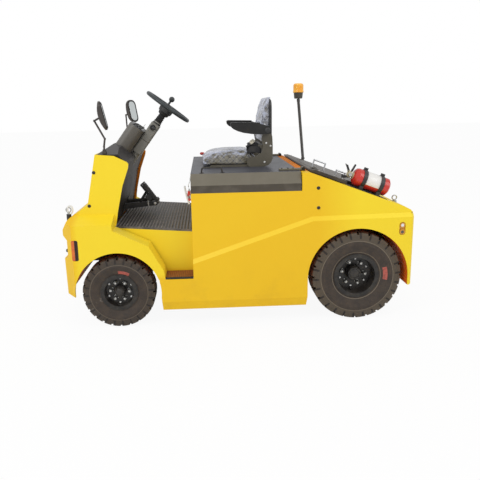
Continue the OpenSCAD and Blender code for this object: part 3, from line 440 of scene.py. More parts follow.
def tyreRubber(node, side, look):
    sheet = Sheet("rubber." + node)
    outer, (inner, bandEnd) = look["outer"], look["rings"]
    across, up = (sheet.along(wheelFrame(node, side), k) for k in (0, 1))
    away = (across * across + up * up).root()
    angle = across.maths("ARCTAN2", up, across)
    tread = sheet.rise(away, outer - 0.022, outer - 0.004)
    dust = sheet.rise(sheet.noise(18, 6, 0.65), 0.42, 0.8)
    tone = sheet.blend(dust * 0.6, shade(54, 45, 38), shade(92, 78, 65))
    tone = sheet.blend(tread * (0.45 + dust * 0.3), tone, shade(108, 95, 80))
    spoke = angle.wave(math.tau / look["grooves"])
    groove = sheet.rise(spoke, 0.72, 0.9) * sheet.rise(away, outer - 0.046, outer - 0.040)
    # Painted shade: the shoulder grooves are darkened where their recesses would lie in shade
    tone = sheet.blend(groove * 0.75, tone, shade(26, 22, 20))
    shoulder = sheet.rise(away, bandEnd - 0.001, bandEnd + 0.001)
    tone = sheet.blend(shoulder * (1 - groove) * 0.5, tone, shade(*look["shoulder"]))
    for ring in look["rings"]:
        tone = sheet.blend(((away - ring).size() < 0.0022) * look["line"], tone, shade(128, 116, 98))
    marks = sheet.rise(sheet.noise(9, 4, 0.7), 0.66, 0.74)
    tone = sheet.blend(marks * 0.35, tone, shade(170, 165, 158))
    near, far = look["patch"]
    start, end = (math.radians(look["turn"] + s * look["spread"]) for s in (-1, 1))
    patch = (away > near) * (away < far) * (angle > start) * (angle < end)
    worn = 0.9 - sheet.rise(sheet.noise(60, 4), 0.5, 0.75) * 0.5
    tone = sheet.blend(patch * worn, tone, shade(186, 92, 80))
    sheet.set(Base_Color=tone, Roughness=0.6 + dust * 0.2)
    band = sheet.rise(away, inner, inner + 0.003) - sheet.rise(away, bandEnd, bandEnd + 0.003)
    fine = away.wave(0.0075) * 0.35 * (1 - tread) + sheet.noise(180, 4) * 0.5
    sheet.bump(band * 1.2 - groove * 1.6 + fine, 0.75, 0.0018)
    return sheet


# Mat: ribs across the floor with two breaks; its pale colour is dust, and painted sheen along the rib crests
matLook = {"rib": 0.021, "break": 0.24, "dark": (54, 51, 50), "worn": (164, 157, 150)}


def ribbedMat(look=matLook):
    sheet = Sheet("ribbedMat")
    ahead, across, _ = sheet.coordinates()
    breaks = (across + 0.03).wave(look["break"]) > 0.96
    wave = ahead.wave(look["rib"]) * (1 - breaks)
    grime = sheet.rise(sheet.noise(16, 5, 0.7), 0.42, 0.8)
    # Painted sheen: the rib crests are lightened towards the pale colour, and the noise adds dust
    worn = sheet.rise(wave, -0.4, 0.8)
    tone = sheet.blend(grime * 0.5 + worn * 0.34, shade(*look["dark"]), shade(*look["worn"]))
    sheet.set(Base_Color=tone, Roughness=0.5 + grime * 0.2)
    sheet.bump(wave, 0.9, 0.0025)
    return sheet


# Step plate: rows of studs, with a black nosing along the outer edge
stepLook = {"stud": 0.024, "nosing": 0.5875, "brown": (158, 94, 50), "studs": (104, 56, 32)}


def brownTread(look=stepLook):
    sheet = Sheet("brownTread")
    ahead, across, _ = sheet.coordinates()
    rows = ahead.wave(look["stud"]) * across.wave(look["stud"])
    studs = sheet.rise(rows.size(), 0.35, 0.6)
    rust = sheet.rise(sheet.noise(40, 4, 0.6), 0.4, 0.8)
    tone = sheet.blend(studs, shade(*look["brown"]), shade(*look["studs"]))
    tone = sheet.blend(rust * 0.3, tone, shade(60, 38, 28))
    edge = across.size() > look["nosing"]
    sheet.set(Base_Color=sheet.blend(edge, tone, shade(34, 32, 32)), Roughness=0.6)
    sheet.bump(studs, 0.7, 0.0016)
    return sheet


# Lamp glass: amber with fine ribs, and dark beyond a limit along one way, where the moulded body shows; on
# the turn lamp that dark also stands for painted shade inside its slot
lampGlassLook = {
    "turnLamp": {
        "way": 0, "sign": 1, "limit": -1.042, "dark": (48, 30, 22),
        "amber": ((178, 70, 12), (222, 118, 30)),
    },
    "beacon": {
        "way": 2, "sign": -1, "limit": 1.5045, "dark": (72, 68, 58),
        "amber": ((238, 156, 26), (255, 208, 84)),
    },
}


def lampGlass(name):
    look = lampGlassLook[name]
    sheet = Sheet(name)
    places = sheet.coordinates()
    limit = tuple(station(look["limit"], 0, look["limit"]))[look["way"]]
    shell = places[look["way"]] * look["sign"] > limit * look["sign"]
    glow = sheet.rise(sheet.noise(24, 3), 0.3, 0.75)
    pale, deep = (shade(*colour) for colour in look["amber"])
    tone = sheet.blend(glow, pale, deep)
    sheet.set(Base_Color=sheet.blend(shell, tone, shade(*look["dark"])), Roughness=0.14 + shell * 0.3)
    sheet.set(Emission_Color=sheet.blend(shell, pale, (0, 0, 0)), Emission_Strength=0.16)
    sheet.set(Coat_Weight=0.5 - shell * 0.5)
    sheet.bump(places[2].wave(0.007) * (1 - shell), 0.35, 0.0015)
    return sheet


# Quilted fabric under clear crinkled film; the pale bluish film colour is partly the film's whitening along
# its folds and partly painted sheen on faces that look up and forward
filmLook = {
    "cloth": (88, 81, 60), "clothPale": (132, 124, 98), "seam": (48, 43, 34), "film": (211, 219, 245),
    "hazeAndSheen": 0.97, "diamond": 0.09, "backStart": 1.128, "frontEnd": (-0.20, -0.15),
}


def wrapFilm(look=filmLook):
    sheet = Sheet("seatUnderFilm")
    long = sheet.vector("MULTIPLY", sheet.place, (0.6, 1, 0.6))
    folds = sheet.noise(19, 6, 0.72, long)
    fine = sheet.noise(64, 5, 0.7)
    ahead, _, height = sheet.coordinates()
    diamond = look["diamond"]
    seams = sheet.rise(((ahead + height).wave(diamond) * (ahead - height).wave(diamond)).size(), 0.02, 0.22)
    weave = sheet.noise(300, 2) * 0.3 + sheet.rise(folds, 0.42, 0.6) * 0.7
    cloth = sheet.blend(weave, shade(*look["cloth"]), shade(*look["clothPale"]))
    cloth = sheet.blend(seams, shade(*look["seam"]), cloth)
    upright = height > look["backStart"]
    nearEnd = 1 - sheet.rise(ahead, *[stationX(x) for x in look["frontEnd"]])
    sideways = sheet.rise(sheet.facing("Y").size(), 0.45, 0.75)
    # Painted sheen: the film colour fades on the side faces, less on the seat back and not at the cushion's
    # front end
    facing = 1 - sideways * (0.88 - upright * 0.5) * (1 - nearEnd)
    foldHazeAndSheen = sheet.rise(folds, 0.36, 0.6) * facing
    glint = sheet.rise(fine, 0.55, 0.7) * facing
    clothUnderFilmSheen = sheet.blend(foldHazeAndSheen * look["hazeAndSheen"] + glint * 0.12, cloth, shade(*look["film"]))
    sheet.set(Base_Color=clothUnderFilmSheen, Roughness=0.3 - foldHazeAndSheen * 0.1 + fine * 0.1)
    sheet.set(Coat_Weight=0.7, Coat_Roughness=0.08)
    creases = sheet.rise(sheet.cells(26), 0.0, 0.1)
    sheet.bump(creases * 0.5 + folds * 1.5 + fine * 0.15, 0.8, 0.006)
    return sheet


def dialFace():
    sheet = Sheet("dialGlass")
    tone = sheet.blend(sheet.noise(60, 2), shade(12, 14, 16), shade(24, 28, 30))
    sheet.set(Base_Color=tone, Roughness=0.08)
    sheet.bump(sheet.noise(200, 2), 0.02)
    return sheet


# Dark finishes: material, side, slope and top colours (painted light and shade by facing), roughness, then
# grain and dust
darkLooks = {
    "dark_trim": ("podGrey", (92, 88, 81), (104, 101, 96), (100, 99, 98), 0.42, 0.3),
    "chassis_black": ("chassisBlack", (34, 33, 33), (38, 37, 37), (46, 44, 44), 0.5),
    "black_plastic": ("mouldedBlack", (42, 42, 42), (48, 48, 49), (54, 54, 57), 0.45, 0.25),
    "black_rim": ("rimBlack", (26, 23, 21), (30, 27, 25), (40, 36, 33), 0.36, 0.12, 0.22),
    "webbing": ("beltBlack", (26, 26, 28), (30, 30, 32), (34, 34, 38), 0.7, 0.6),
    "rubberPad": ("padRubber", (30, 30, 31), (36, 36, 37), (42, 42, 43), 0.62, 0.4),
    "gloss": ("glossBlack", (26, 26, 27), (30, 30, 31), (34, 34, 36), 0.2, 0.04, 0.12),
    "columnGrey": ("columnGrey", (130, 128, 120), (132, 130, 123), (126, 125, 120), 0.38, 0.2),
    "wheelBlack": ("wheelBlack", (44, 50, 52), (48, 54, 57), (58, 64, 68), 0.38, 0.12),
    "bracketGrey": ("bracketGrey", (88, 83, 70), (90, 86, 74), (96, 93, 84), 0.36, 0.12),
    "poleGrey": ("poleGrey", (76, 74, 72), (80, 78, 76), (84, 82, 80), 0.4),
    "armrestBlack": ("armrestBlack", (12, 11, 9), (26, 26, 24), (50, 53, 54), 0.5, 0.3, 0.06),
    "mirrorBlack": ("mirrorBlack", (62, 57, 54), (64, 60, 57), (70, 66, 63), 0.34, 0.12),
}

# Gloss finishes: material, two colours and roughness
glossLooks = {
    "red_paint": ("redPaint", (206, 52, 38), (168, 30, 26)),
    "cream": ("creamPlastic", (226, 220, 200), (204, 196, 172), 0.35),
    "palePlug": ("paleCap", (232, 232, 230), (206, 206, 204), 0.3),
    "barePaper": ("bareLabel", (236, 234, 230), (222, 218, 212), 0.4),
    "redLens": ("redLens", (176, 26, 22), (140, 14, 14), 0.12),
    "warmLens": ("amberTail", (230, 130, 20), (200, 100, 10), 0.12),
    "socketPlate": ("socketPlate", (214, 150, 40), (180, 116, 24), 0.4),
}

sheets = {name: darkSurface(*look) for name, look in darkLooks.items()}
sheets.update({name: glossPaint(*look) for name, look in glossLooks.items()})
sheets.update({
    "yellow_paint": bodyPaint(), "archPaint": bodyPaint(arches=True), "black_cover": coverFinish(),
    "hood": hoodFinish(), "dash": dashFinish(), "eye": eyeFinish(), "bottle": bottleFinish(),
    "floor_rubber": ribbedMat(), "brown_tread": brownTread(), "seat_cover": wrapFilm(),
    "bright_steel": plainMetal("zincSteel", (204, 204, 200), 0.3), "dial": dialFace(),
    "mirror": clearGlass("mirrorGlass", (226, 232, 232), 1.0, 0.04),
    "lampGlass": clearGlass("headlampGlass", (214, 220, 222), 0.85, 0.1),
    "turnLamp": lampGlass("turnLamp"), "beacon": lampGlass("beacon"),
})
for end, look in tyreLook.items():
    for side, name in sides:
        node = end + "_tyre_" + name.lower()
        sheets[node] = tyreRubber(node, side, look)
finishes = {name: sheet.material for name, sheet in sheets.items()}

# Nodes whose finish differs from their slot's own; a tyre's bears the node's name
nodeFinishes = {
    "arch_liners": "archPaint", "rear_hood": "hood", "lifting_eyes": "eye", "extinguisher": "bottle",
    "cowl_liner": "dash", "side_sockets": "socketPlate", "steering_column": "columnGrey",
    "steering_wheel": "wheelBlack", "seat_frame": "bracketGrey", "beacon_pole": "poleGrey",
    "beacon_lamp": "beacon", "armrest_left": "armrestBlack", "armrest_right": "armrestBlack",
    "mirror_left": "mirrorBlack", "mirror_right": "mirrorBlack",
    "turn_lamp_left": "turnLamp", "turn_lamp_right": "turnLamp",
}


def dressNodes():
    for row in frame["record"]["subparts"]:
        node = row["node"]
        wanted = nodeFinishes.get(node, node if node in finishes else row["material_slot"])
        mesh = nodes[node].data
        mesh.materials.clear()
        mesh.materials.append(finishes[wanted])


dressNodes()
print("finishes on", len(nodes), "nodes")


# Shapes are pairs of points and faces, so that they can be moved and joined before they become meshes
def moved(shape, matrix):
    return [matrix @ Vector(p) for p in shape[0]], shape[1]


def joined(*shapes):
    points, faces = [], []
    for shape in shapes:
        start = len(points)
        points += [Vector(p) for p in shape[0]]
        faces += [tuple(i + start for i in face) for face in shape[1]]
    return points, faces


def loft(rings, closed=True, capped=True):
    count = len(rings[0])
    points = [Vector(p) for ring in rings for p in ring]
    faces = []
    for r in range(len(rings) - 1):
        for i in range(count if closed else count - 1):
            j = (i + 1) % count
            faces.append((r * count + i, r * count + j, (r + 1) * count + j, (r + 1) * count + i))
    if capped:
        faces.append(tuple(reversed(range(count))))
        faces.append(tuple((len(rings) - 1) * count + i for i in range(count)))
    return points, faces


# Turned form: pairs of radius and height, the first and last ring are closed with a face
def turned(profile, steps=32):
    rings = []
    for radius, height in profile:
        turns = [math.tau * i / steps for i in range(steps)]
        rings.append([(radius * math.cos(a), radius * math.sin(a), height) for a in turns])
    return loft(rings)


def roundedOutline(width, depth, radius, corner=5):
    outline = []
    for sx, sy, start in ((1, 1, 0), (-1, 1, 90), (-1, -1, 180), (1, -1, 270)):
        for i in range(corner + 1):
            angle = math.radians(start + 90 * i / corner)
            x = sx * (width / 2 - radius) + radius * math.cos(angle)
            y = sy * (depth / 2 - radius) + radius * math.sin(angle)
            outline.append((x, y))
    return outline


# Plate with rounded corners and a soft upper edge, standing on z = 0
def plate(width, depth, height, radius, edge=0.001, corner=5):
    rings = []
    for inset, z in ((0, 0), (0, height - edge), (edge * 0.3, height - edge * 0.3), (edge, height)):
        outline = roundedOutline(width - 2 * inset, depth - 2 * inset, max(radius - inset, 0.0003), corner)
        rings.append([(x, y, z) for x, y in outline])
    return loft(rings)


# Round bar along points, with its ring turned to follow the path and its ends drawn in a little
def bar(points, radius, count=12, ends=0.6):
    path = [Vector(p) for p in points]
    rings = []
    lead = (path[1] - path[0]).normalized()
    across = lead.orthogonal().normalized()
    for i, point in enumerate(path):
        before = (point - path[i - 1]).normalized() if i else lead
        after = (path[i + 1] - point).normalized() if i < len(path) - 1 else before
        way = (before + after).normalized()
        across = (across - way * across.dot(way)).normalized()
        other = way.cross(across)
        wide = radius / max(0.6, before.dot(way))
        turns = [math.tau * k / count for k in range(count)]
        rings.append([point + wide * (across * math.cos(a) + other * math.sin(a)) for a in turns])
    first = [path[0] - lead * radius * 0.3 + (p - path[0]) * ends for p in rings[0]]
    last = [path[-1] + way * radius * 0.3 + (p - path[-1]) * ends for p in rings[-1]]
    return loft([first] + rings + [last])


# Points of a smooth curve through a few given ones
def curved(points, steps=6):
    path = [Vector(p) for p in points]
    path = [path[0] * 2 - path[1]] + path + [path[-1] * 2 - path[-2]]
    found = []
    for i in range(1, len(path) - 2):
        a, b, c, d = path[i - 1 : i + 3]
        for k in range(steps):
            t = k / steps
            bend = (2 * a - 5 * b + 4 * c - d) * t**2 + (3 * b - a - 3 * c + d) * t**3
            found.append(0.5 * (2 * b + (c - a) * t + bend))
    return found + [path[-2]]


def curvedStations(points, steps=6):
    return curved([station(*p) for p in points], steps)


# Flat webbing along a path, width across and thickness out of its face
def webbing(points, across, width, thickness):
    section = [(a, -1) for a in (-1, -0.94, 0, 0.94, 1)] + [(a, 1) for a in (1, 0.94, 0, -0.94, -1)]
    path = [Vector(p) for p in points]
    rings = []
    for i, point in enumerate(path):
        way = (path[min(i + 1, len(path) - 1)] - path[max(i - 1, 0)]).normalized()
        side = Vector(across).normalized()
        side = (side - way * side.dot(way)).normalized()
        out = way.cross(side)
        rings.append([
            point + side * a * width / 2 + out * b * thickness / 2 * (1 if abs(a) < 1 else 0.4)
            for a, b in section
        ])
    return loft(rings)


# A piece takes its slot's own finish where no other is named
def addPiece(name, shape, body, slotName, finish=None, angle=38, bevel=0):
    mesh = bpy.data.meshes.new(name)
    mesh.from_pydata([tuple(p) for p in shape[0]], [], shape[1])
    mesh.validate()
    piece = bpy.data.objects.new(name, mesh)
    bpy.context.scene.collection.objects.link(piece)
    mesh.shade_smooth()
    mesh.set_sharp_from_angle(angle=math.radians(angle))
    mesh.materials.append(finishes[finish or slotName])
    if bevel:
        made = piece.modifiers.new("softEdges", "BEVEL")
        made.width, made.segments, made.limit_method = bevel, 2, "ANGLE"
    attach(piece, body)
    return piece


# Cushions: an even skin is blown up by cloth pressure, kept in its room, then creased like film over quilting
padLook = {
    "voxel": 0.006, "pressure": 4, "frames": 20, "crease": 0.0022, "fine": 0.0009,
    "quilt": 0.055, "seamDepth": 0.0032, "seamWidth": 0.004,
}


def settled(piece):
    bpy.context.view_layer.update()
    return bpy.data.meshes.new_from_object(piece.evaluated_get(bpy.context.evaluated_depsgraph_get()))


def ridge(point, scale):
    return (1 - abs(noise.noise(point * scale))) ** 5


# How far the skin stands out at a point: film creases, less the sewn diamonds on the upright faces
def creased(here, out, look=padLook):
    flow = Vector((here.x * 0.6, here.y, here.z))
    rise = look["crease"] * ridge(flow, 24) + look["fine"] * ridge(here + Vector((3, 1, 2)), 62)
    if abs(out.y) > 0.6 or out.x < -0.75:
        along = here.x + here.y * (abs(out.y) < 0.6)
        for cross in (along + here.z, along - here.z):
            groove = abs((cross / look["quilt"]) % 1 - 0.5) * look["quilt"]
            rise -= look["seamDepth"] * math.exp(-((groove / look["seamWidth"]) ** 2))
    return rise


# Cloth under pressure, with no point moved further than the cap
def swell(pad, held, cap, look=padLook):
    group = pad.vertex_groups.new(name="held")
    group.add([v.index for v in pad.data.vertices if held(v.co)], 1.0, "REPLACE")
    cloth = pad.modifiers.new("swell", "CLOTH")
    cloth.settings.use_pressure = True
    cloth.settings.uniform_pressure_force = look["pressure"]
    cloth.settings.vertex_group_mass = "held"
    cloth.settings.effector_weights.gravity = 0
    cloth.collision_settings.use_collision = False
    cloth.point_cache.frame_end = look["frames"]
    for count in range(1, look["frames"] + 1):
        bpy.context.scene.frame_set(count)
    swollen = settled(pad)
    pad.modifiers.clear()
    for mine, theirs in zip(pad.data.vertices, swollen.vertices):
        step = theirs.co - mine.co
        mine.co += step * min(1, cap / max(step.length, 1e-6))
    pad.vertex_groups.clear()


# A pad from its own look, with the points that pass the held test kept where they are
def puffed(name, shape, body, node, held, room, look):
    mesh = bpy.data.meshes.new(name)
    mesh.from_pydata([tuple(p) for p in shape[0]], [], shape[1])
    pad = bpy.data.objects.new(name, mesh)
    bpy.context.scene.collection.objects.link(pad)
    skin = pad.modifiers.new("evenSkin", "REMESH")
    skin.mode, skin.voxel_size = "VOXEL", padLook["voxel"]
    pad.data = settled(pad)
    pad.modifiers.clear()
    swell(pad, held, look["cap"])
    points = pad.data.vertices
    outward = [v.normal.copy() for v in points]
    for point, out in zip(points, outward):
        here = point.co.copy()
        if not held(here):
            point.co = here + out * creased(here, out)
        point.co = Vector(min(max(c, a), b) for c, a, b in zip(point.co, *room))
    finer = pad.modifiers.new("finer", "SUBSURF")
    finer.levels = finer.render_levels = 1
    pad.data.materials.clear()
    pad.data.materials.append(finishes["seat_cover"])
    pad.data.shade_smooth()
    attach(pad, body)
    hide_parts(node)
    print(name, "made with", len(points), "points")


# Rounds a closed drawing by cutting its corners twice
def curvedLoop(points, rounds=2):
    loop = [Vector(p) for p in points]
    for _ in range(rounds):
        cut = []
        for a, b in zip(loop, loop[1:] + loop[:1]):
            cut += [a * 0.75 + b * 0.25, a * 0.25 + b * 0.75]
        loop = cut
    return loop


# Seat cushion: its side drawing in station and height; sections give width, height and length shares
cushionLook = {
    "side": [
        (-0.222, 1.0105), (-0.232, 1.024), (-0.231, 1.044), (-0.222, 1.058), (-0.196, 1.069), (-0.150, 1.081),
        (-0.090, 1.089), (0.0, 1.093), (0.080, 1.091), (0.120, 1.083), (0.144, 1.062), (0.149, 1.032),
        (0.140, 1.0105),
    ],
    "sections": [
        (1.0, 0.58, 0.955), (0.97, 0.70, 0.985), (0.9, 0.83, 1), (0.75, 0.93, 1), (0.5, 0.985, 1), (0, 1, 1),
    ],
    "middle": -0.04, "base": 1.0105, "halfWidth": 0.221, "heldBelow": 1.014,
    "low": (-0.2395, -0.234, 1.0078), "high": (0.1525, 0.234, 1.108), "cap": 0.012, "fill": 0.7,
}


def seatCushion(look=cushionLook):
    middle, base = look["middle"], look["base"]
    rings = []
    sections = [(-a, b, c) for a, b, c in look["sections"]] + list(reversed(look["sections"][:-1]))
    for part, tall, long in sections:
        rings.append([
            station(middle + (x - middle) * long, part * look["halfWidth"], base + (z - base) * tall)
            for x, z in curvedLoop(look["side"])
        ])
    room = (station(*look["low"]), station(*look["high"]))
    below = look["heldBelow"]
    puffed("seatCushion", loft(rings), "cover", "seat_cushion", lambda p: p.z < below, room, look)


# Seat back: front line in height and station, rounded top corners, and a dark shell behind the padding
backLook = {
    "front": [
        (1.1425, 0.188), (1.19, 0.186), (1.253, 0.186), (1.324, 0.195), (1.378, 0.208), (1.428, 0.219),
        (1.450, 0.2245), (1.460, 0.228),
    ],
    "top": 1.468, "topRound": 0.062, "halfWidth": 0.220, "split": 0.236, "steps": 34,
    "low": (0.137, -0.2265, 1.1421), "high": (0.2505, 0.2265, 1.4675), "heldBehind": 0.2325,
    "cap": 0.010, "fill": 0.6,
    "shellLow": 1.146, "shellTop": 1.446, "shellHalf": 0.2225,
    "shell": [(0.2368, 0.0, 0), (0.246, 0.0, 0), (0.2515, 0.006, 0.006), (0.2537, 0.02, 0.02)],
    "piping": 0.0034,
}


def backHalf(z, look):
    over = z - (look["top"] - look["topRound"])
    if over <= 0:
        return look["halfWidth"]
    return look["halfWidth"] - look["topRound"] + math.sqrt(max(look["topRound"] ** 2 - over**2, 1e-6))


# One level ring of the padding, with the dish of its front face
def backRing(z, look):
    for (za, xa), (zb, xb) in zip(look["front"], look["front"][1:]):
        if za <= z <= zb + 1e-9:
            front = xa + (xb - xa) * (z - za) / (zb - za)
    half = backHalf(z, look)
    depth = look["split"] - 0.002 - front + (0.012 if z > look["shellTop"] + 0.002 else 0)
    ring = []
    for x, y in roundedOutline(depth, 2 * half, min(0.022, depth * 0.48)):
        dish = 0.006 * (1 - (y / half) ** 2) if x < 0 else 0
        ring.append(station(front + depth / 2 + x + dish, y, z))
    return ring


def seatBack(look=backLook):
    start, end = look["front"][0][0], look["front"][-1][0]
    rings = [backRing(start + (end - start) * i / look["steps"], look) for i in range(look["steps"] + 1)]
    room = (station(*look["low"]), station(*look["high"]))
    behind = station(look["heldBehind"], 0, 0).x
    puffed("seatBack", loft(rings), "cover", "seat_back", lambda p: p.x > behind, room, look)
    shell = []
    for x, inset, drop in look["shell"]:
        low = look["shellLow"]
        tall = look["shellTop"] - drop - low - inset
        outline = roundedOutline(2 * (look["shellHalf"] - inset), tall, 0.05, 8)
        shell.append([station(x, y, low + inset + tall / 2 + z) for y, z in outline])
    addPiece("seatBackShell", loft(shell), "cover", "black_plastic")
    edge = [station(0.2352, y, 1.2955 + z) for y, z in roundedOutline(0.447, 0.296, 0.055, 8)]
    addPiece("seatBackPiping", bar(edge + edge[:1], look["piping"], 8), "cover", "black_plastic")


# Bolts: a turned head with a washer, or a hexagon
def headShape(radius, height, sides=24, washer=1.45):
    wide = radius * washer
    base = turned([(wide, 0), (wide, height * 0.22), (wide * 0.94, height * 0.3)])
    if sides == 6:
        top = turned([(radius, height * 0.28), (radius, height * 0.86), (radius * 0.86, height)], 6)
    else:
        top = turned([
            (radius, height * 0.28), (radius * 0.97, height * 0.6), (radius * 0.72, height * 0.9),
            (radius * 0.45, height), (radius * 0.4, height * 0.8), (0.0004, height * 0.8),
        ], sides)
    return joined(base, top)


def boltSet(name, places, radius, height, body, slotName, finish=None, sides=24, washer=1.45):
    heads = [
        moved(headShape(radius, height, sides, washer), spotOn(point, normal, 0.3 * i))
        for i, (point, normal) in enumerate(places)
    ]
    addPiece(name, joined(*heads), body, slotName, finish)


# Seat belt: loose webbing beside the cushion with a pale buckle, and a stalk on the far side
# Each loop: the way across the webbing, its share of the width, and its path
beltLook = {
    "width": 0.046, "thickness": 0.0022,
    "loops": [
        ((0.25, 0.3, 1), 1.0, [
            (0.176, -0.236, 1.104), (0.146, -0.243, 1.110), (0.110, -0.240, 1.111), (0.086, -0.226, 1.107),
            (0.084, -0.206, 1.103), (0.108, -0.192, 1.100), (0.140, -0.196, 1.102),
        ]),
        ((0.2, 1, 0.5), 0.95, [
            (0.170, -0.214, 1.122), (0.146, -0.212, 1.143), (0.116, -0.210, 1.150), (0.090, -0.208, 1.140),
            (0.080, -0.200, 1.118), (0.092, -0.190, 1.098), (0.124, -0.182, 1.094),
        ]),
        ((0.1, -0.2, 1), 1.0, [
            (0.160, -0.204, 1.112), (0.130, -0.206, 1.122), (0.100, -0.204, 1.120), (0.082, -0.200, 1.112),
        ]),
        ((0.6, 0.3, 0.8), 0.9, [
            (0.172, -0.226, 1.118), (0.144, -0.231, 1.128), (0.116, -0.224, 1.131), (0.100, -0.206, 1.126),
        ]),
    ],
    "buckle": (0.114, -0.214, 1.1600),
    "stalk": [(0.182, 0.239, 1.060), (0.166, 0.240, 1.078), (0.150, 0.238, 1.092)],
    "catch": (0.152, 0.238, 1.088),
}


def seatBelt(look=beltLook):
    loops = [
        webbing(curvedStations(points, 5), across, look["width"] * share, look["thickness"])
        for across, share, points in look["loops"]
    ]
    addPiece("beltWebbing", joined(*loops), "cover", "black_plastic", "webbing", 60)
    face = spotOn(station(*look["buckle"]), (0.15, -1, 0.35), 0.6)
    buckle = joined(
        moved(plate(0.036, 0.026, 0.012, 0.006, 0.003), face),
        moved(plate(0.020, 0.009, 0.0145, 0.003, 0.002), face @ at(0.003, 0, 0)),
    )
    addPiece("beltBuckle", buckle, "cover", "black_plastic", "cream", bevel=0.0008)
    stalk = webbing(curvedStations(look["stalk"]), (1, 0, 0), 0.03, 0.004)
    spot = spotOn(station(*look["catch"]), (-0.6, -0.1, 0.8))
    catch = moved(plate(0.040, 0.020, 0.042, 0.006, 0.004), spot)
    addPiece("beltStalk", joined(stalk, catch), "cover", "black_plastic")


# Seat: adjuster lever, bracket bolts and pivot caps of the armrests
seatLook = {
    "lever": [(-0.190, 0.214, 1.0205), (-0.204, 0.232, 1.030), (-0.216, 0.235, 1.044)],
    "grip": [(0.008, 0), (0.0105, 0.004), (0.0115, 0.016), (0.0105, 0.028), (0.006, 0.034), (0.001, 0.0355)],
    "bracketY": 0.254, "bolts": [(0.208, 1.153), (0.238, 1.133), (0.196, 1.024)],
    "pivot": (0.212, 1.240), "pivotY": 0.318,
    "cap": [(0.0195, 0), (0.0195, 0.0012), (0.017, 0.003), (0.006, 0.0042), (0.001, 0.0044)],
}


def seatTrim(look=seatLook):
    addPiece("seatLever", bar(curvedStations(look["lever"]), 0.005), "cover", "black_plastic")
    grip = moved(turned(look["grip"]), spotOn(station(-0.214, 0.235, 1.044), (-1, 0.05, 0.12)))
    addPiece("seatLeverGrip", grip, "cover", "red_paint")
    x, z = look["pivot"]
    for side, name in sides:
        out = (0, side, 0)
        bolts = [(station(bx, side * look["bracketY"], bz), out) for bx, bz in look["bolts"]]
        boltSet("seatBolts" + name, bolts, 0.0062, 0.005, "cover", "bright_steel", "palePlug", washer=1.05)
        cap = moved(turned(look["cap"]), spotOn(station(x, side * look["pivotY"], z), out))
        addPiece("armrestCap" + name, cap, "arm_" + name.lower(), "black_plastic")


# Fasteners of the body, the battery cover's straps and the feet of its lift handle
boltLook = {
    "panelY": 0.582, "panel": [(0.495, 0.889), (0.498, 0.762)],
    "cowlY": 0.480, "cowl": [(-0.916, 1.008), (-0.959, 0.794)],
    "knob": [(0.006, 0), (0.006, 0.006), (0.0105, 0.008), (0.0115, 0.014), (0.009, 0.020), (0.001, 0.0215)],
    "knobPlace": (-1.101, 0.500, 0.510),
    "strap": [(0.278, 0), (0.318, 0.009), (0.318, -0.009), (0.352, 0)], "strapY": 0.480, "strapTop": 1.005,
    "handleY": -0.520, "handleFeet": (-0.2355, -0.1035), "coverTop": 0.993,
    "leg": [(-0.2355, 0.994), (-0.2345, 1.012), (-0.2305, 1.0255)],
    "lip": (-0.30, 0.0, 0.30),
}


def bodyBolts(look=boltLook):
    black = ("chassis", "chassis_black")
    for side, name in sides:
        out = (0, side, 0)
        panel = [(station(x, side * look["panelY"], z), out) for x, z in look["panel"]]
        boltSet("panelBolts" + name, panel, 0.0075, 0.006, *black)
        cowl = [(station(x, side * look["cowlY"], z), out) for x, z in look["cowl"]]
        boltSet("cowlBolts" + name, cowl, 0.0075, 0.006, *black)
        x, y, z = look["knobPlace"]
        knob = moved(turned(look["knob"]), spotOn(station(x, side * y, z), (-1, 0, 0)))
        addPiece("noseKnob" + name, knob, "chassis", "black_plastic")
        strap = [
            (station(x, side * (look["strapY"] + y), look["strapTop"]), (0, 0, 1)) for x, y in look["strap"]
        ]
        boltSet("strapBolts" + name, strap, 0.0044, 0.003, "cover", "chassis_black", sides=6, washer=1.35)
    y = look["handleY"]
    foot = turned([(0.014, 0), (0.014, 0.002), (0.009, 0.0035)])
    feet = [moved(foot, Matrix.Translation(station(x, y, look["coverTop"]))) for x in look["handleFeet"]]
    leg = bar([station(x, y, z) for x, z in look["leg"]], 0.0052)
    addPiece("coverHandleFeet", joined(leg, *feet), "cover", "black_cover", "chassis_black")
    lip = [(station(-0.305, y, 0.905), (-1, 0, 0)) for y in look["lip"]]
    boltSet("coverLipBolts", lip, 0.005, 0.004, "cover", "chassis_black")


# Plates that close the open rear ends of the front body's shoulders
endLook = {
    "corners": [(0.5995, 0.655), (0.5995, 0.690), (0.480, 0.738), (0.472, 0.738), (0.472, 0.655)],
    "faces": (-0.8065, -0.8045),
    "cheek": [(-0.806, 0.738), (-0.7815, 0.738), (-0.7965, 0.6595), (-0.806, 0.6595)],
    "cheekFaces": (0.4775, 0.4812),
}


def shoulderEnds(look=endLook):
    for side, name in sides:
        end = loft([[station(x, side * y, z) for y, z in look["corners"]] for x in look["faces"]])
        flange = loft([[station(x, side * y, z) for x, z in look["cheek"]] for y in look["cheekFaces"]])
        addPiece("shoulderEnd" + name, joined(end, flange), "chassis", "yellow_paint")


# Beacon pole: a wider tube over the pole, with a collar at each end
poleLook = {
    "foot": (0.6268, 0.552, 0.9220), "head": (0.579, 0.552, 1.454), "start": 0.028, "radius": 0.0118,
    "inner": 0.0095, "collar": 0.003, "rim": 0.0015,
}


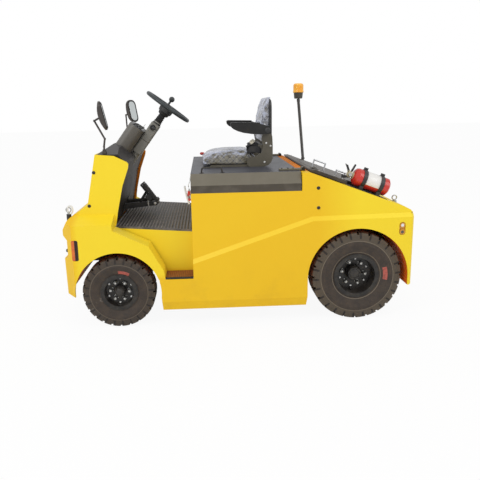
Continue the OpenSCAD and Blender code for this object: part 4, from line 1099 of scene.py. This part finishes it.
def poleTube(look=poleLook):
    foot, head = station(*look["foot"]), station(*look["head"])
    way = head - foot
    long = way.length - look["start"] - 0.001
    wide = look["radius"]
    collar, rim = wide + look["collar"], wide + look["rim"]
    rings = turned([
        (look["inner"], 0), (collar, 0.0005), (collar, 0.012), (wide, 0.016), (wide, long - 0.028),
        (rim, long - 0.024), (rim, long - 0.002), (look["inner"], long),
    ], 28)
    spot = spotOn(foot + way.normalized() * look["start"], way)
    addPiece("poleTube", moved(rings, spot), "chassis", "black_plastic", "poleGrey")


# Oval links on the front lifting eyes
linkLook = {"middle": (-1.0855, 0.470, 0.7712), "half": (0.0165, 0.026), "wire": 0.0052, "steps": 28}


def eyeLinks(look=linkLook):
    x, y, z = look["middle"]
    wide, tall = look["half"]
    turns = [math.tau * k / look["steps"] for k in range(look["steps"])]
    for side, name in sides:
        middle = station(x, side * y, z)
        loop = [middle + Vector((wide * math.sin(a), 0, tall * math.cos(a))) for a in turns]
        link = bar(loop + loop[:1], look["wire"], 10)
        addPiece("eyeLink" + name, link, "chassis", "bright_steel", "palePlug")


# Draw latch of the battery cover: paths in station and height, all at the latch's own y
latchLook = {
    "y": -0.470,
    "hook": [
        (-0.3068, 0.966), (-0.3095, 0.956), (-0.3115, 0.935), (-0.3195, 0.921), (-0.3225, 0.908),
        (-0.321, 0.897),
    ],
    "lever": [(-0.347, 0.905), (-0.345, 0.888), (-0.338, 0.850), (-0.329, 0.815), (-0.320, 0.790)],
    "grip": [(-0.3145, 0.812), (-0.3185, 0.826), (-0.3215, 0.850), (-0.3195, 0.874)],
    "rivets": [(y, z) for y in (-0.007, 0.007) for z in (0.940, 0.952)],
}


def latchTrim(look=latchLook):
    def strip(part, width, thickness):
        path = curvedStations([(x, look["y"], z) for x, z in look[part]])
        return webbing(path, (0, 1, 0), width, thickness)

    heads = [
        moved(headShape(0.0034, 0.0024), spotOn(station(-0.3118, look["y"] + y, z), (-1, 0, 0)))
        for y, z in look["rivets"]
    ]
    hook = joined(strip("hook", 0.028, 0.0042), *heads)
    addPiece("latchHook", hook, "cover", "bright_steel", "palePlug")
    addPiece("latchLever", strip("lever", 0.032, 0.0105), "chassis", "bright_steel", "palePlug")
    addPiece("latchGrip", strip("grip", 0.038, 0.0170), "chassis", "red_paint")


# Hood hardware, placed down the deck's slope, across and above its top
hoodLook = {
    "top": 0.0262,
    "screws": [
        (0.070, -0.50), (0.235, -0.50), (0.070, 0.50), (0.515, 0.50), (0.300, 0.50), (0.515, -0.30),
        (0.300, -0.385),
    ],
    "handles": [(0.0635, -0.330), (0.1455, -0.330), (0.2165, -0.382), (0.2805, -0.382)],
    "catch": (0.046, 0.050, -0.452),
    "hinges": [(0.520, side * 0.250 + y) for side in (-1, 1) for y in (-0.014, 0.014)],
}


def hoodTrim(look=hoodLook):
    top = look["top"]
    out = deckFrame.col[2][:3]

    def spots(name):
        return [(onDeck(s, y, top).translation, out) for s, y in look[name]]

    boltSet("hoodScrews", spots("screws"), 0.0042, 0.0038, "hood", "bright_steel", washer=1.5)
    foot = turned([(0.012, 0), (0.012, 0.0016), (0.007, 0.0028)])
    feet = [moved(foot, onDeck(s, y, top)) for s, y in look["handles"]]
    addPiece("hoodHandleFeet", joined(*feet), "hood", "bright_steel")
    base, knob, y = look["catch"]
    catch = joined(
        moved(plate(0.060, 0.034, 0.006, 0.005), onDeck(base, y, top)),
        moved(plate(0.026, 0.020, 0.013, 0.004, 0.003), onDeck(knob, y, top)),
    )
    addPiece("hoodCatch", catch, "hood", "chassis_black", "dark_trim", bevel=0.0006)
    boltSet("hoodHingeBolts", spots("hinges"), 0.0045, 0.004, "hood", "chassis_black", sides=6)


# Extinguisher: bare label round the bottle, clamp lugs, gauge, nozzle and levers
bottleLook = {
    "y": -0.478, "axis": 0.070, "clamps": (0.3645, 0.4835),
    "from": 0.3775, "to": 0.4705, "radius": 0.0585, "start": -25, "end": 205, "steps": 40,
    "gauge": [
        (0.004, -0.006), (0.004, 0), (0.0125, 0.001), (0.0125, 0.008), (0.0112, 0.0095), (0.0105, 0.0085),
        (0.0004, 0.0085),
    ],
    "nozzle": [
        (0.006, 0), (0.006, 0.014), (0.0085, 0.018), (0.012, 0.040), (0.0125, 0.044), (0.010, 0.0445),
        (0.008, 0.038), (0.0004, 0.036),
    ],
    "levers": [(0.262, 0.226, 0.078, 0.128), (0.276, 0.287, 0.084, 0.145)],
}


def extinguisherTrim(look=bottleLook):
    y, axis = look["y"], look["axis"]
    start, end = look["from"], look["to"]
    sweep = look["end"] - look["start"]
    rings = []
    for s in (start, start + 0.0006, end - 0.0006, end):
        radius = look["radius"] - (0.0004 if s in (start, end) else 0)
        turns = [math.radians(look["start"] + sweep * i / look["steps"]) for i in range(look["steps"] + 1)]
        rings.append([(-radius * math.sin(a), -radius * math.cos(a), s) for a in turns])
    label = moved(loft(rings, False, False), onDeck(0, y, axis) @ spun(90, "Y"))
    addPiece("extinguisherLabel", label, "hood", "bright_steel", "barePaper")
    lugs = []
    for s in look["clamps"]:
        for apart in (-0.006, 0.006):
            lugs.append(moved(plate(0.025, 0.0035, 0.020, 0.0012), onDeck(s, y + apart, 0.1265)))
        lugs.append(moved(bar([(0, -0.014, 0), (0, 0.014, 0)], 0.003), onDeck(s, y, 0.139)))
    addPiece("clampLugs", joined(*lugs), "hood", "black_plastic")
    gauge = moved(turned(look["gauge"]), onDeck(0.272, y - 0.020, axis) @ spun(90, "X"))
    addPiece("pressureGauge", gauge, "hood", "bright_steel")
    nozzle = moved(turned(look["nozzle"]), onDeck(0.274, y, 0.052) @ spun(-100, "Y"))
    addPiece("nozzle", nozzle, "hood", "black_plastic")
    levers = []
    for a, b, low, high in look["levers"]:
        path = [
            onDeck(a + (b - a) * k / 4, y, low + (high - low) * k / 4 + 0.003 * math.sin(k)).translation
            for k in range(5)
        ]
        levers.append(webbing(path, (0, 1, 0), 0.017, 0.0035))
    addPiece("valveLevers", joined(*levers), "hood", "black_plastic")


# Mirrors: glass with a soft rim on the flat face of each head
mirrorLook = {
    "heads": [("Left", (-0.838, -0.480, 1.3602), 6), ("Right", (-0.788, 0.480, 1.3802), -35)],
    "lean": (0.9781, 0, 0.2079), "stand": 0.0101,
    "glass": (0.152, 0.068, 0.028), "rim": (0.160, 0.076, 0.031),
    "crown": [(0.0, 0.0), (0.0, 0.0008), (0.002, 0.0016), (0.014, 0.0024), (0.03, 0.0028)],
}


def mirrorGlass(look=mirrorLook):
    wide, tall, corner = look["glass"]
    for name, place, yaw in look["heads"]:
        turn = Matrix.Rotation(math.radians(yaw), 3, "Z")
        out = turn @ Vector(look["lean"])
        side = turn @ Vector((0, 1, 0))
        base = axes(station(*place), side.cross(out), side, out) @ at(0, 0, look["stand"])
        glass = []
        for inset, z in look["crown"]:
            outline = roundedOutline(wide - 2 * inset, tall - 2 * inset, max(corner - inset, 0.004), 8)
            glass.append([(x, y, z) for x, y in outline])
        addPiece("mirrorGlass" + name, moved(loft(glass), base), "chassis", "bright_steel", "mirror")
        rim = [Vector((x, y, 0.0008)) for x, y in roundedOutline(*look["rim"], 8)]
        addPiece("mirrorRim" + name, moved(bar(rim + rim[:1], 0.0032, 8), base), "chassis", "black_plastic")


# Wheels: bright nuts, pale rim bolts, hub bolts and cap, and a valve
wheelLook = {
    "front": {
        "disc": 0.0, "nuts": 0.0600, "bolts": 0.082, "turn": -3, "hub": 0.046, "hubRound": 0.036,
        "valve": 0.084,
    },
    "rear": {
        "disc": -0.016, "nuts": 0.078, "bolts": 0.0945, "turn": -8, "hub": 0.030, "hubRound": 0.050,
        "valve": 0.108,
    },
}


def ringOf(shape, radius, count, turn, height):
    placed = [moved(shape, spun(turn + 360 * i / count, "Z") @ at(radius, 0, height)) for i in range(count)]
    return joined(*placed)


def dressWheel(end, sideName, side, look):
    base = wheelFrame(end + "_tyre_" + sideName, side)
    body = "wheel_" + end + "_" + sideName
    label = end.capitalize() + sideName.capitalize()
    disc, nuts, turn, hubRound, valve = (look[k] for k in ("disc", "nuts", "turn", "hubRound", "valve"))
    nut = joined(
        turned([(0.0172, 0.0015), (0.0172, 0.0035), (0.016, 0.0045)]),
        turned([(0.0137, 0.004), (0.0137, 0.0195), (0.0118, 0.0235)], 6),
        turned([(0.0072, 0.022), (0.0072, 0.0285), (0.006, 0.0295)]),
    )
    addPiece("nuts" + label, moved(ringOf(nut, nuts, 6, turn, disc), base), body, "bright_steel")
    plug = turned([(0.0066, 0.002), (0.0066, 0.0115), (0.0052, 0.0142), (0.001, 0.015)])
    plugs = moved(ringOf(plug, look["bolts"], 6, turn + 30, disc), base)
    addPiece("rimBolts" + label, plugs, body, "bright_steel", "palePlug")
    hubBolt = turned([(0.0048, 0), (0.0048, 0.0042), (0.0036, 0.0054)], 6)
    cap = turned([
        (hubRound * 0.62, -0.002), (hubRound * 0.62, 0.003), (hubRound * 0.55, 0.0058),
        (hubRound * 0.3, 0.0078), (0.0006, 0.0082),
    ])
    hub = joined(ringOf(hubBolt, hubRound * 0.74, 8, 10, 0), cap)
    addPiece("hubCap" + label, moved(hub, base @ at(0, 0, look["hub"])), body, "black_rim")
    flange = turned([
        (nuts + 0.021, -0.001), (nuts + 0.021, 0.0012), (nuts + 0.019, 0.002), (hubRound + 0.001, 0.002),
    ])
    addPiece("discFlange" + label, moved(flange, base @ at(0, 0, disc)), body, "black_rim")
    path = [(valve + out, 0, disc + up) for out, up in ((0, 0.002), (0.001, 0.016), (0.004, 0.030))]
    stem = bar(path, 0.0036)
    tip = moved(turned([(0.0048, 0), (0.0048, 0.009), (0.003, 0.011)]), at(valve + 0.004, 0, disc + 0.029))
    addPiece("valve" + label, moved(joined(stem, tip), base @ spun(-100, "Z")), body, "black_rim")


# Pedals: ribbed rubbers on the plates, the brake's switch block, its spring and the pin heads
pedalLook = {
    "pads": [("Brake", -0.060, 0), ("Drive", 0.090, 0.034)], "place": (-0.6045, 0.8035),
    "slope": (0.153, 0.107), "ribs": 10, "ribStep": 0.015,
    "switch": (-0.632, -0.060, 0.752), "spring": (-0.628, -0.100, 0.706), "springRound": 0.0042,
    "pins": (-0.5795, 0.7265), "pinEnds": (-0.0902, 0.1202),
}


def pedalPads(look=pedalLook):
    tall, long = look["slope"]
    ahead = Vector((long, 0, -tall)).normalized()
    out = Vector((tall, 0, long)).normalized()
    for name, y, drop in look["pads"]:
        x, z = look["place"]
        face = axes(station(x - drop, y, z - drop), ahead, (0, 1, 0), out)
        parts = [moved(plate(0.150, 0.058, 0.003, 0.006), face)]
        for i in range(look["ribs"]):
            rib = face @ at(look["ribStep"] * i - 0.0675, 0, 0.0025)
            parts.append(moved(plate(0.006, 0.050, 0.0022, 0.002, 0.0008), rib))
        addPiece("pedalPad" + name, joined(*parts), "chassis", "black_plastic", "rubberPad")


def pedalTrim(look=pedalLook):
    slant = axes(station(*look["switch"]), (0.82, 0, -0.57), (0, 1, 0), (0.57, 0, 0.82))
    block = moved(plate(0.052, 0.046, 0.040, 0.006, 0.002), slant)
    addPiece("pedalSwitch", block, "chassis", "black_plastic")
    x, y, z = look["spring"]
    wide = look["springRound"]
    coil = [
        station(x + wide * math.cos(k * 0.9), y + wide * math.sin(k * 0.9), z + 0.0011 * k) for k in range(40)
    ]
    x, z = look["pins"]
    pin = headShape(0.0065, 0.006)
    ends = [moved(pin, spotOn(station(x, y, z), (0, y, 0))) for y in look["pinEnds"]]
    addPiece("pedalPinHeads", joined(bar(coil, 0.0013, 6), *ends), "chassis", "bright_steel", "palePlug")


# Steering column: outlines are pairs of radius and height along the column
columnLook = {
    "folds": 6,
    "cap": [
        (0.027, 0.0062), (0.0275, 0.009), (0.025, 0.0125), (0.018, 0.0145), (0.0165, 0.0132),
        (0.0006, 0.0138),
    ],
    "skirt": [
        (0.030, -0.072), (0.037, -0.066), (0.041, -0.052), (0.0485, -0.046), (0.052, -0.022), (0.050, -0.013),
        (0.030, -0.0125),
    ],
    "lock": [
        (0.0180, 0), (0.0200, 0.003), (0.0200, 0.016), (0.0170, 0.020), (0.0105, 0.020), (0.010, 0.017),
        (0.0005, 0.017),
    ],
    "lockPlace": (-0.004, -0.042, -0.180),
    "seams": (-0.29, -0.18), "seamOutline": (0.0712, 0.0852, 0.0145),
    "grip": [
        (0.0062, -0.05), (0.0078, -0.046), (0.0088, -0.01), (0.0092, 0.004), (0.0075, 0.0105),
        (0.0006, 0.012),
    ],
}


def columnTrim(look=columnLook):
    waves = [(0.0205, -0.147), (0.031, -0.146)]
    for i in range(look["folds"]):
        waves += [(0.0315 - 0.0012 * i, -0.142 + 0.014 * i), (0.0245 - 0.0006 * i, -0.135 + 0.014 * i)]
    waves += [(0.0235, -0.056), (0.0205, -0.054)]
    addPiece("columnBoot", moved(turned(waves, 40), columnFrame), "chassis", "black_plastic", "rubberPad")
    cap = moved(turned(look["cap"], 40), columnFrame)
    addPiece("steeringHubCap", cap, "steering_wheel", "black_plastic", "gloss")
    rib = moved(plate(0.098, 0.011, 0.0022, 0.004), at(0.088, 0, -0.0021))
    ribs = joined(*[moved(rib, columnFrame @ spun(angle, "Z")) for angle in (60, 180, 300)])
    addPiece("spokeRibs", ribs, "steering_wheel", "black_plastic")
    skirt = moved(turned(look["skirt"], 40), columnFrame)
    addPiece("wheelHubSkirt", skirt, "steering_wheel", "black_plastic")
    lockSpot = columnFrame @ spotOn(Vector(look["lockPlace"]), (0, -1, 0))
    addPiece("steeringLock", moved(turned(look["lock"]), lockSpot), "chassis", "black_plastic", "gloss")
    seams = []
    for s in look["seams"]:
        ring = [Vector((x, y, s)) for x, y in roundedOutline(*look["seamOutline"], 6)]
        seams.append(bar(ring + ring[:1], 0.0014, 6))
    addPiece("shroudSeams", moved(joined(*seams), columnFrame), "chassis", "dark_trim", "gloss")
    grips = []
    for side, _ in sides:
        spot = columnFrame @ spotOn(Vector((0.006, side * 0.138, -0.172)), (0.0556, side, 0.148))
        grips.append(moved(turned(look["grip"]), spot))
    addPiece("stalkGrips", joined(*grips), "chassis", "black_plastic")


# Instrument pod: gloss panel, two gauges, a block of rocker switches and the key
podLook = {
    "place": (-0.094, 0, -0.237), "panel": (0.088, 0.226), "face": 0.003, "gauge": 0.031,
    "gauges": [(0.0, 1), (0.066, 0.72)], "marks": 11, "markStep": 26,
    "rockers": [(x, y) for x in (-0.024, 0.0, 0.024) for y in (-0.082, -0.056)],
    "key": [(0.0105, 0.003), (0.0105, 0.007), (0.0085, 0.0095), (0.0004, 0.0095)],
    "keyPlace": (0.024, 0.096, 0),
}


def podFace(look=podLook):
    top = columnFrame @ at(*look["place"])
    panel = plate(*look["panel"], 0.003, 0.040, 0.0012, 8)
    addPiece("podPanel", moved(panel, top), "chassis", "dark_trim", "gloss")
    rings, faces, marks = [], [], []
    for y, share in look["gauges"]:
        radius = look["gauge"] * share
        spot = at(0, y, look["face"])
        rings.append(moved(turned([
            (radius + 0.004, 0), (radius + 0.004, 0.003), (radius + 0.0015, 0.0045), (radius, 0.002),
            (radius, 0.0004),
        ], 40), spot))
        faces.append(moved(turned([(radius, 0), (radius, 0.0012), (radius - 0.001, 0.0016)], 40), spot))
        for i in range(look["marks"]):
            turn = spun(look["markStep"] * i + 50, "Z")
            mark = plate(0.005 if i % 5 == 0 else 0.003, 0.0009, 0.0004, 0.0003, 0.0001)
            marks.append(moved(mark, spot @ turn @ at(radius * 0.84, 0, 0.0016)))
        needle = plate(radius * 0.7, 0.0012, 0.0008, 0.0004, 0.0002)
        turn = Matrix.Rotation(2.2 + y * 9, 4, "Z")
        marks.append(moved(needle, spot @ turn @ at(radius * 0.3, 0, 0.0018)))
    addPiece("gaugeRings", moved(joined(*rings), top), "chassis", "black_plastic")
    addPiece("gaugeFaces", moved(joined(*faces), top), "chassis", "dark_trim", "dial")
    addPiece("gaugeMarks", moved(joined(*marks), top), "chassis", "bright_steel", "palePlug")
    rockers = []
    for x, y in look["rockers"]:
        rockers.append(moved(plate(0.018, 0.022, 0.0045, 0.002), at(x, y, look["face"])))
        tilt = at(x, y - 0.004, look["face"]) @ Matrix.Rotation(0.12, 4, "X")
        rockers.append(moved(plate(0.012, 0.008, 0.0075, 0.0015), tilt))
    addPiece("rockerSwitches", moved(joined(*rockers), top), "chassis", "black_plastic")
    key = joined(turned(look["key"]), moved(plate(0.003, 0.017, 0.022, 0.001), at(0, 0, 0.009)))
    addPiece("keySwitch", moved(key, top @ at(*look["keyPlace"])), "chassis", "bright_steel")


# Lamps on the nose and the tail
lampLook = {
    "nose": (-1.101, 0.385, 0.531),
    "bezel": [
        (0.049, 0), (0.050, 0.012), (0.048, 0.019), (0.044, 0.021), (0.0425, 0.013), (0.0425, 0.004),
        (0.001, 0.003),
    ],
    "glass": [(0.0424, 0.012), (0.0424, 0.0150), (0.034, 0.0185), (0.020, 0.0208), (0.001, 0.0216)],
    "tail": (1.115, 0.485, 0.600),
}


def noseLamps(look=lampLook):
    x, y, z = look["nose"]
    spots = [spotOn(station(x, side * y, z), (-1, 0, 0)) for side, _ in sides]
    bezels = joined(*[moved(turned(look["bezel"], 40), spot) for spot in spots])
    addPiece("noseLampBezels", bezels, "chassis", "black_plastic")
    glasses = joined(*[moved(turned(look["glass"], 40), spot) for spot in spots])
    addPiece("noseLampGlasses", glasses, "chassis", "bright_steel", "lampGlass")


def tailLamps(look=lampLook):
    x, y, z = look["tail"]
    for side, name in sides:
        upright = axes(station(x, side * y, z), (0, 1, 0), (0, 0, 1), (1, 0, 0))
        base = moved(plate(0.074, 0.164, 0.010, 0.012), upright)
        addPiece("tailLampBase" + name, base, "chassis", "black_plastic")
        red = moved(plate(0.060, 0.086, 0.018, 0.010, 0.004), upright @ at(0, -0.032, 0.008))
        addPiece("tailLampRed" + name, red, "chassis", "red_paint", "redLens")
        warm = moved(plate(0.060, 0.054, 0.018, 0.010, 0.004), upright @ at(0, 0.046, 0.008))
        addPiece("tailLampAmber" + name, warm, "chassis", "amber_lens", "warmLens")


# Towing pin in its jaw, with a ring to lift it by
towLook = {
    "station": 1.149, "ring": 0.026, "ringHeight": 0.552,
    "pin": [
        (0.008, 0.300), (0.0145, 0.308), (0.0145, 0.502), (0.023, 0.503), (0.023, 0.512), (0.012, 0.514),
        (0.010, 0.530), (0.0006, 0.532),
    ],
}


def towPin(look=towLook):
    wide, high = look["ring"], look["ringHeight"]
    turns = [math.tau * k / 24 - math.pi / 2 for k in range(25)]
    loop = [Vector((wide * math.cos(a), 0, high + wide * math.sin(a))) for a in turns]
    whole = joined(turned(look["pin"]), bar(loop, 0.004, 8))
    spot = Matrix.Translation(station(look["station"], 0, 0))
    addPiece("towPin", moved(whole, spot), "chassis", "bright_steel")


# Sockets: a black ring with a pale plug above and a dark plug below
socketLook = {
    "place": (1.037, 0.594), "plugs": [(0.637, "upper", "palePlug"), (0.593, "lower", "dark_trim")],
    "ring": [
        (0.0158, 0), (0.0158, 0.0050), (0.0146, 0.0058), (0.0125, 0.0058), (0.0118, 0.003), (0.0006, 0.003),
    ],
    "plug": [
        (0.0116, 0.002), (0.0116, 0.0058), (0.0100, 0.0068), (0.0036, 0.0070), (0.0032, 0.0052),
        (0.0006, 0.0050),
    ],
}


def socketFaces(look=socketLook):
    x, y = look["place"]
    for side, name in sides:
        for z, kind, face in look["plugs"]:
            spot = spotOn(station(x, side * y, z), (0, side, 0))
            ring = moved(turned(look["ring"]), spot)
            addPiece(kind + "SocketRing" + name, ring, "chassis", "bright_steel", "chassis_black")
            plug = moved(turned(look["plug"], 28), spot)
            addPiece(kind + "SocketPlug" + name, plug, "chassis", "black_plastic", face)


for make in (seatCushion, seatBack, seatBelt, seatTrim):
    make()
print("seat made")
for make in (bodyBolts, shoulderEnds, poleTube, eyeLinks, latchTrim, hoodTrim, extinguisherTrim, mirrorGlass):
    make()
print("body details made")
for end, look in wheelLook.items():
    for side, name in sides:
        dressWheel(end, name.lower(), side, look)
print("wheels dressed")
for make in (pedalPads, pedalTrim, columnTrim, podFace, noseLamps, tailLamps, towPin, socketFaces):
    make()
print("driver's place and lamps made")

# Stage: a white floor and backdrop, and soft lamps
stageLook = {
    "floorSize": 60, "tone": (0.9, 0.9, 0.9), "floorWhite": 0.93, "worldLevel": 0.72,
    "key": {"place": (-3.2, -3.6, 4.2), "aim": (-0.3, 0, 0.6), "size": (3, 2), "power": 92},
    "fill": {"place": (3.4, -3.0, 3.2), "aim": (0.3, 0, 0.6), "size": (3, 2), "power": 40},
}


def makeStage(look):
    half = look["floorSize"] / 2
    mesh = bpy.data.meshes.new("floor")
    corners = [(-half, -half, 0), (half, -half, 0), (half, half, 0), (-half, half, 0)]
    mesh.from_pydata(corners, [], [(0, 1, 2, 3)])
    floor = bpy.data.objects.new("floor", mesh)
    bpy.context.scene.collection.objects.link(floor)
    sheet = Sheet("floorPale")
    sheet.set(Base_Color=look["tone"], Roughness=0.9)
    rays = sheet.node("ShaderNodeLightPath", {}, {}, "Is Camera Ray")
    white = sheet.node("ShaderNodeEmission", {}, {"Color": (1, 1, 1), "Strength": 1.0})
    values = {0: rays * look["floorWhite"], 1: Field(sheet, sheet.shader.outputs[0]), 2: white}
    mixed = sheet.node("ShaderNodeMixShader", {}, values)
    sheet.tree.links.new(mixed.socket, sheet.output.inputs["Surface"])
    mesh.materials.append(sheet.material)


def makeWorld(look):
    world = bpy.data.worlds.new("world")
    bpy.context.scene.world = world
    sheet = Sheet("world", world)
    rays = sheet.node("ShaderNodeLightPath", {}, {}, "Is Camera Ray")
    seen = rays.most(rays.part("Is Transmission Ray"))
    values = {"Value": seen, "To Min": look["worldLevel"], "To Max": 1.0}
    sheet.set(Color=(1, 1, 1), Strength=sheet.node("ShaderNodeMapRange", {}, values))


def makeLamp(name, look):
    data = bpy.data.lights.new(name, "AREA")
    data.shape = "RECTANGLE"
    data.size, data.size_y = look["size"]
    data.energy = look["power"]
    lamp = bpy.data.objects.new(name, data)
    bpy.context.scene.collection.objects.link(lamp)
    lamp.location = look["place"]
    lamp.rotation_euler = (Vector(look["aim"]) - Vector(look["place"])).to_track_quat("-Z", "Y").to_euler()


makeStage(stageLook)
makeWorld(stageLook)
makeLamp("keyLamp", stageLook["key"])
makeLamp("fillLamp", stageLook["fill"])
print("stage set")
